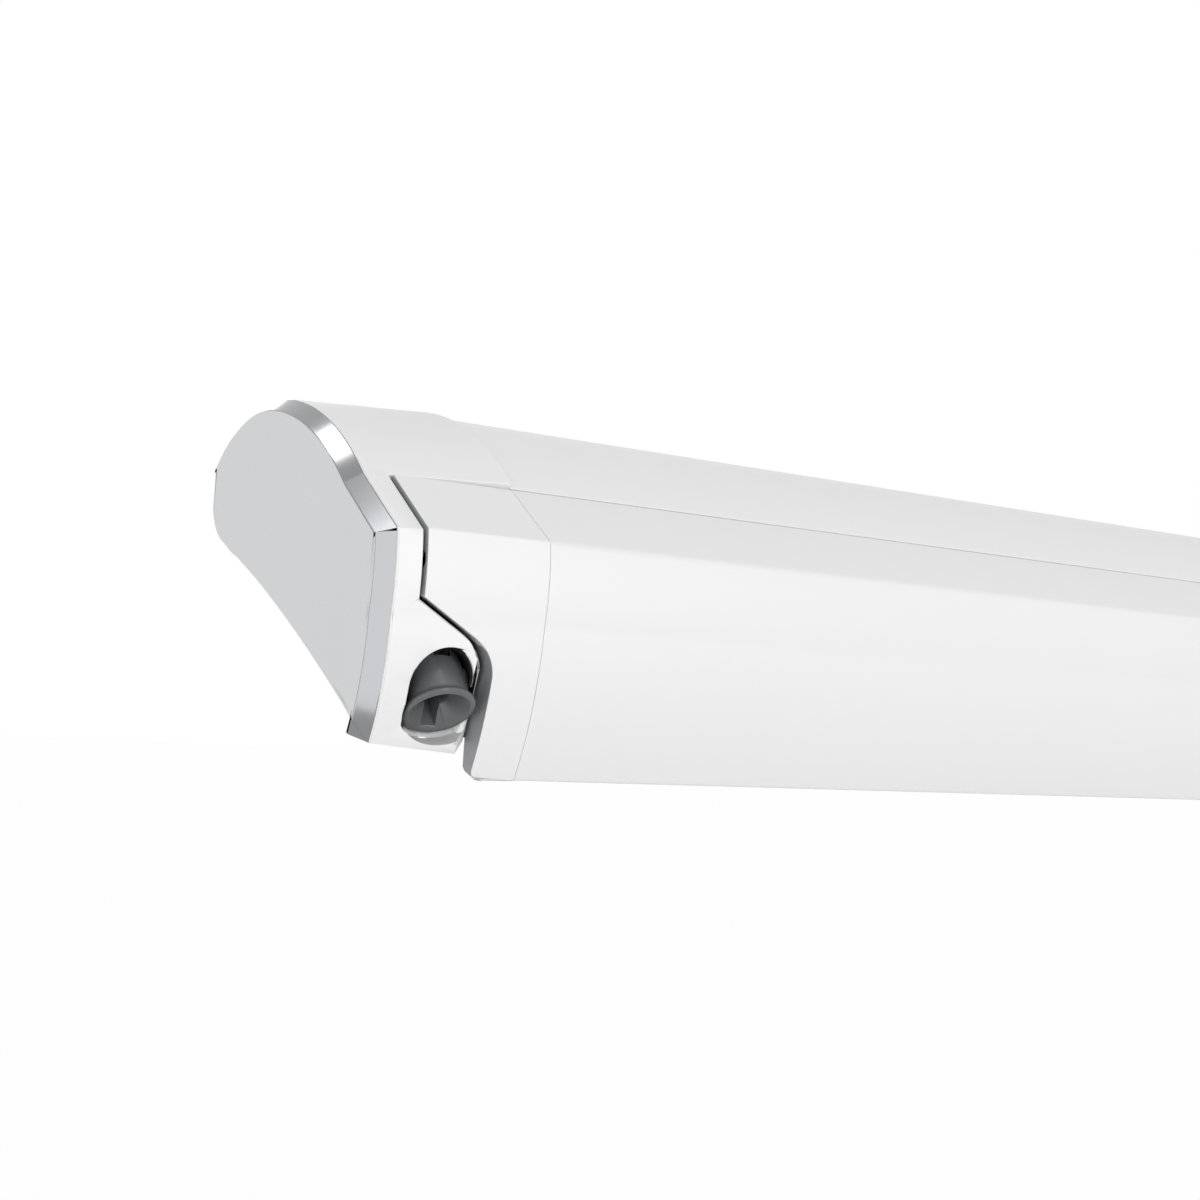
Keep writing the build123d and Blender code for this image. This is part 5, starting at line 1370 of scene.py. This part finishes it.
@dataclass
class Canopy:
    """The wound cloth and the part of it that runs out to the lead rail."""

    bench: Bench
    half_width: float = 1.2
    roller: Point = (112.0, 86.0)
    tube: float = 24.0
    pitch: float = 0.5
    turns: float = 12.6
    steps_a_turn: int = 56
    fixed_rows: int = 6
    pulled_rows: int = 24
    spread_rows: int = 8
    bead: Point = BEAD
    bead_radius: float = 2.6
    lip_clear: Point = (40.0, 85.7)

    def surface(self, name: str, line: list[Point], columns: int) -> Piece:
        """Makes a sheet that runs across the awning over a line in section, with a UV map in metres."""
        shape = bmesh.new()
        xs = [-self.half_width + 2 * self.half_width * c / columns for c in range(columns + 1)]
        rows = [[shape.verts.new((x, *place(*point))) for x in xs] for point in line]
        uv = shape.loops.layers.uv.new("cloth")
        lengths = [0.0]
        for a, b in zip(line, line[1:]):
            lengths.append(lengths[-1] + math.dist(a, b) * MM)
        where = {v: (x, lengths[r]) for r, row in enumerate(rows) for v, x in zip(row, xs)}
        for low, high in zip(rows, rows[1:]):
            for c in range(columns):
                face = shape.faces.new((low[c], low[c + 1], high[c + 1], high[c]))
                for loop in face.loops:
                    loop[uv].uv = where[loop.vert]
        piece = self.bench.made_from(shape, name)
        piece.data.shade_smooth()
        return piece

    def tangent(self) -> tuple[Point, float]:
        """Finds where the cloth leaves the roll on its way to the bead, and the roll's outer radius."""
        radius = self.tube + self.pitch * self.turns
        (cb, cu), (bb, bu) = self.roller, self.bead
        reach = math.dist(self.roller, self.bead)
        angle = math.atan2(bu - cu, bb - cb) - math.acos(radius / reach)
        return ((cb + radius * math.cos(angle), cu + radius * math.sin(angle)), radius)

    def build(self) -> None:
        """Winds the roll and hangs the cloth that follows the rail."""
        bench = self.bench
        leave, radius = self.tangent()
        last = math.atan2(leave[1] - self.roller[1], leave[0] - self.roller[0])
        steps = int(self.turns * self.steps_a_turn)
        wound = []
        for k in range(steps + 1):
            share = k / steps
            angle = last + (1 - share) * self.turns * math.tau
            first = self.tube + self.pitch / 2
            r = first + (radius - first) * share
            wound.append((self.roller[0] + r * math.cos(angle), self.roller[1] + r * math.sin(angle)))
        roll = self.surface("canopy_roll", wound, 2)
        bench.thicken(roll)
        bench.finish(roll, Stuff.CANOPY_WOUND, "roller", "fabric", ("fabric_roll",))
        line = [between(leave, self.lip_clear, k / self.fixed_rows) for k in range(self.fixed_rows)]
        line += [between(self.lip_clear, self.bead, k / self.pulled_rows) for k in range(self.pulled_rows + 1)]
        out = self.surface("canopy_out", line, 2)
        weights = out.vertex_groups.new(name="pulled by the rail")
        for row in range(len(line)):
            share = min(max(0.0, (row - self.fixed_rows) / self.spread_rows), 1.0)
            weights.add([row * 3 + c for c in range(3)], share, "REPLACE")
        hook = out.modifiers.new("rail", "HOOK")
        hook.object = self.bench.frame["bodies"]["lead_rail"]
        hook.vertex_group = weights.name
        hook.falloff_type = "NONE"
        bench.thicken(out)
        bench.finish(out, Stuff.CANOPY_OUT, "cassette", "fabric", ("fabric_lead",))
        press = Extruder(bench)
        cord = press.sweep("canopy_bead", [in_metres(circle(self.bead, self.bead_radius, 0, 345, 23))],
                           -self.half_width, self.half_width, Stuff.CANOPY_OUT)
        bench.finish(cord, Stuff.CANOPY_OUT, "lead_rail", "fabric")


# ---------------------------------------------------------------- arms and legs


@dataclass
class Arms:
    """The two folding arms, with their brackets and joints."""

    bench: Bench
    press: Extruder
    tilt: float = 16.0
    pivot_x: float = 1.13
    shoulder: Point = (71.5, 54.5)
    layer: float = 21.85
    width: float = 16.0
    height: float = 30.0
    round_mm: float = 5.0
    wall: float = 2.0
    start: float = 0.034
    end: float = 1.01994

    def beam(self, name: str, side: str, across: float) -> Piece:
        """Extrudes one arm's tube.

        Args:
            name: The piece's name.
            side: Left or right.
            across: Where the tube lies in the arm's plane, in millimetres.

        Returns:
            The tube.
        """
        c, s = math.cos(math.radians(self.tilt)), math.sin(math.radians(self.tilt))
        y, z = place(*self.shoulder)
        frame = Matrix(((0, 0, 1, 0), (c, -s, 0, y + across * MM * c), (s, c, 0, z + across * MM * s), (0, 0, 0, 1)))
        loops = [self.rounded(self.width, self.height, self.round_mm),
                 self.rounded(self.width - 2 * self.wall, self.height - 2 * self.wall, self.round_mm - self.wall)]
        ends = sorted(SIDES[side] * (self.pivot_x - at) for at in (self.start, self.end))
        return self.press.sweep(name, loops, ends[0], ends[1], Stuff.ARM_COAT, frame)

    @staticmethod
    def rounded(width: float, height: float, radius: float) -> list[Point]:
        """Draws a rectangle with round corners, in metres, from sizes in millimetres."""
        corners = [(width / 2 - radius, height / 2 - radius, 0), (radius - width / 2, height / 2 - radius, 90),
                   (radius - width / 2, radius - height / 2, 180), (width / 2 - radius, radius - height / 2, 270)]
        runs = [circle((x, y), radius, a, a + 90, 8) for x, y, a in corners]
        return [(x * MM, y * MM) for x, y in joined(*runs)]

    def build(self) -> None:
        """Dresses both arms."""
        bench = self.bench
        for side in SIDES:
            upper = self.beam(f"upper_arm_tube_{side}", side, 0.0)
            bench.finish(upper, Stuff.ARM_COAT, f"upper_arm_{side}", "arm", (f"upper_arm_{side}",))
            fore = self.beam(f"forearm_tube_{side}", side, -self.layer)
            bench.finish(fore, Stuff.ARM_COAT, f"forearm_{side}", "arm", (f"forearm_{side}",))
            for node in ("upper_arm_knuckle", "elbow_fork"):
                bench.eased_copy(f"{node}_{side}", Stuff.CASTING, f"upper_arm_{side}", "casting", 0.6)
            for node in ("forearm_elbow_end", "forearm_wrist_end"):
                bench.eased_copy(f"{node}_{side}", Stuff.CASTING, f"forearm_{side}", "casting", 0.6)
            bench.eased_copy(f"shoulder_bracket_{side}", Stuff.CASTING, "cassette", "casting", 0.6)
            bench.eased_copy(f"wrist_bracket_{side}", Stuff.CASTING, "lead_rail", "casting", 0.5)
            bench.repaint(Stuff.ZINC, f"elbow_pin_{side}", f"arm_spring_{side}")
        bench.repaint(Stuff.ZINC, "shoulder_pins", "wrist_pins")


@dataclass
class Legs:
    """The support legs that fold into the lead rail."""

    bench: Bench

    def build(self) -> None:
        """Dresses both legs."""
        bench = self.bench
        for side in SIDES:
            for node, body in (("leg_tube", "leg"), ("leg_inner_tube", "leg_extension")):
                bench.eased_copy(f"{node}_{side}", Stuff.ANODISED, f"{body}_{side}", "tube", 0.3)
            for node, body in (("leg_collar", "leg"), ("leg_lever", "leg_lever"), ("leg_foot", "leg_foot")):
                bench.eased_copy(f"{node}_{side}", Stuff.BLACK_NYLON, f"{body}_{side}", "dark_plastic", 0.5)
        bench.repaint(Stuff.ZINC, "leg_hinges")


# ---------------------------------------------------------------- studio


@dataclass(frozen=True)
class Softbox:
    """A soft square lamp."""

    name: str
    at: Place
    aim: Place
    size: float
    radiance: float

    def hang(self) -> None:
        """Puts the lamp into the scene."""
        data = bpy.data.lights.new(self.name, "AREA")
        data.shape = "SQUARE"
        data.size = self.size
        data.energy = self.radiance * math.pi * self.size**2
        lamp = bpy.data.objects.new(self.name, data)
        lamp.location = self.at
        lamp.rotation_euler = (Vector(self.aim) - Vector(self.at)).to_track_quat("-Z", "Y").to_euler()
        bpy.context.scene.collection.objects.link(lamp)


@dataclass
class Studio:
    """A plain white studio: pale floor, soft lamps and the photograph's camera."""

    floor_z: float = -2.75
    floor_half: float = 60.0
    floor_colour: str = "#F4F4F4"
    floor_glow: float = 0.98
    ambient: float = 0.44
    lamps: tuple[Softbox, ...] = (
        Softbox("front_softbox", (-0.5, -3.5, 0.3), (-0.9, -0.1, -0.05), 1.9, 4.9),
        Softbox("high_softbox", (-2.02, 1.01, 1.67), (-1.29, -0.14, 0.0), 0.5, 5.0),
        Softbox("crown_softbox", (-0.7, 2.7, 1.0), (-1.29, -0.06, 0.03), 0.9, 3.5),
        Softbox("side_softbox", (-3.9, -1.6, -0.3), (-1.29, -0.14, -0.05), 2.8, 1.35),
        Softbox("rim_softbox", (-1.21, -1.14, 1.59), (-1.27, -0.16, -0.07), 0.3, 14.0),
    )
    eye: Place = (-1.5154, -0.6456, -0.0743)
    right: Place = (0.84420, -0.53254, 0.06095)
    up: Place = (-0.08249, -0.01674, 0.99645)
    lens: float = 49.5

    def white_for_camera(self, tree: Tree) -> Socket:
        """Gives 1 for rays that show the background: straight, mirrored or through glass."""
        path = add(tree, "ShaderNodeLightPath")
        straight = add(tree, "ShaderNodeMath", {"operation": "MAXIMUM"},
                       links={0: path.outputs["Is Camera Ray"], 1: path.outputs["Is Glossy Ray"]})
        seen = add(tree, "ShaderNodeMath", {"operation": "MAXIMUM"},
                   links={0: straight.outputs[0], 1: path.outputs["Is Transmission Ray"]})
        return seen.outputs[0]

    def sky(self) -> None:
        """Lights the room evenly, and shows it white."""
        world = bpy.data.worlds.new("studio")
        world.use_nodes = True
        tree = world.node_tree
        tree.nodes.clear()
        seen = self.white_for_camera(tree)
        level = remap(tree, seen, self.ambient, 1.0)
        glow = add(tree, "ShaderNodeBackground", values={"Color": (1.0, 1.0, 1.0, 1.0)},
                   links={"Strength": level})
        add(tree, "ShaderNodeOutputWorld", links={"Surface": glow.outputs["Background"]})
        bpy.context.scene.world = world

    def floor(self) -> None:
        """Lays a wide pale floor that shows near white and keeps the shadow."""
        mesh = bpy.data.meshes.new("studio_floor")
        corners = ((-1, -1), (1, -1), (1, 1), (-1, 1))
        mesh.from_pydata([(x * self.floor_half, y * self.floor_half, self.floor_z) for x, y in corners], [],
                         [(0, 1, 2, 3)])
        plane = bpy.data.objects.new("studio_floor", mesh)
        bpy.context.scene.collection.objects.link(plane)
        made, tree = blank("pale_floor", self.floor_colour)
        matt = add(tree, "ShaderNodeBsdfDiffuse", values={"Color": linear(self.floor_colour)})
        glow = add(tree, "ShaderNodeEmission", values={"Color": (1.0, 1.0, 1.0, 1.0)})
        share = add(tree, "ShaderNodeMath", {"operation": "MULTIPLY"}, {1: self.floor_glow},
                    {0: self.white_for_camera(tree)})
        mix = add(tree, "ShaderNodeMixShader",
                  links={0: share.outputs[0], 1: matt.outputs["BSDF"], 2: glow.outputs["Emission"]})
        add(tree, "ShaderNodeOutputMaterial", links={"Surface": mix.outputs["Shader"]})
        mesh.materials.append(made)

    def camera(self) -> None:
        """Stands the camera where the photograph was taken from."""
        data = bpy.data.cameras.new("photo_camera")
        data.lens = self.lens
        data.sensor_width = 36.0
        data.sensor_fit = "HORIZONTAL"
        data.clip_end = 200.0
        data.clip_start = 0.01
        right, up = Vector(self.right).normalized(), Vector(self.up)
        back = right.cross(up).normalized()
        up = back.cross(right)
        turn = Matrix((right, up, back)).transposed().to_4x4()
        camera = bpy.data.objects.new("photo_camera", data)
        camera.matrix_world = Matrix.Translation(self.eye) @ turn
        bpy.context.scene.collection.objects.link(camera)
        bpy.context.scene.camera = camera

    def build(self) -> None:
        """Sets up the room, the lamps and the camera."""
        bpy.context.scene.view_settings.view_transform = "Standard"
        self.sky()
        self.floor()
        for lamp in self.lamps:
            lamp.hang()
        self.camera()


def main() -> None:
    """Builds the studio and the awning, and reports each piece."""
    logging.basicConfig(level=logging.INFO, format="%(name)s: %(message)s")
    for old in list(bpy.data.objects):
        bpy.data.objects.remove(old)
    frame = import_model()
    Studio().build()
    bench = Bench(frame)
    press = Extruder(bench)
    Case(bench, press).build()
    LeadRail(bench, press).build()
    Ends(bench).build()
    Drive(bench).build()
    Fasteners(bench).build()
    Canopy(bench).build()
    Arms(bench, press).build()
    Legs(bench).build()
    log.info("%d pieces", bench.count)


if __name__ == "__main__":
    main()
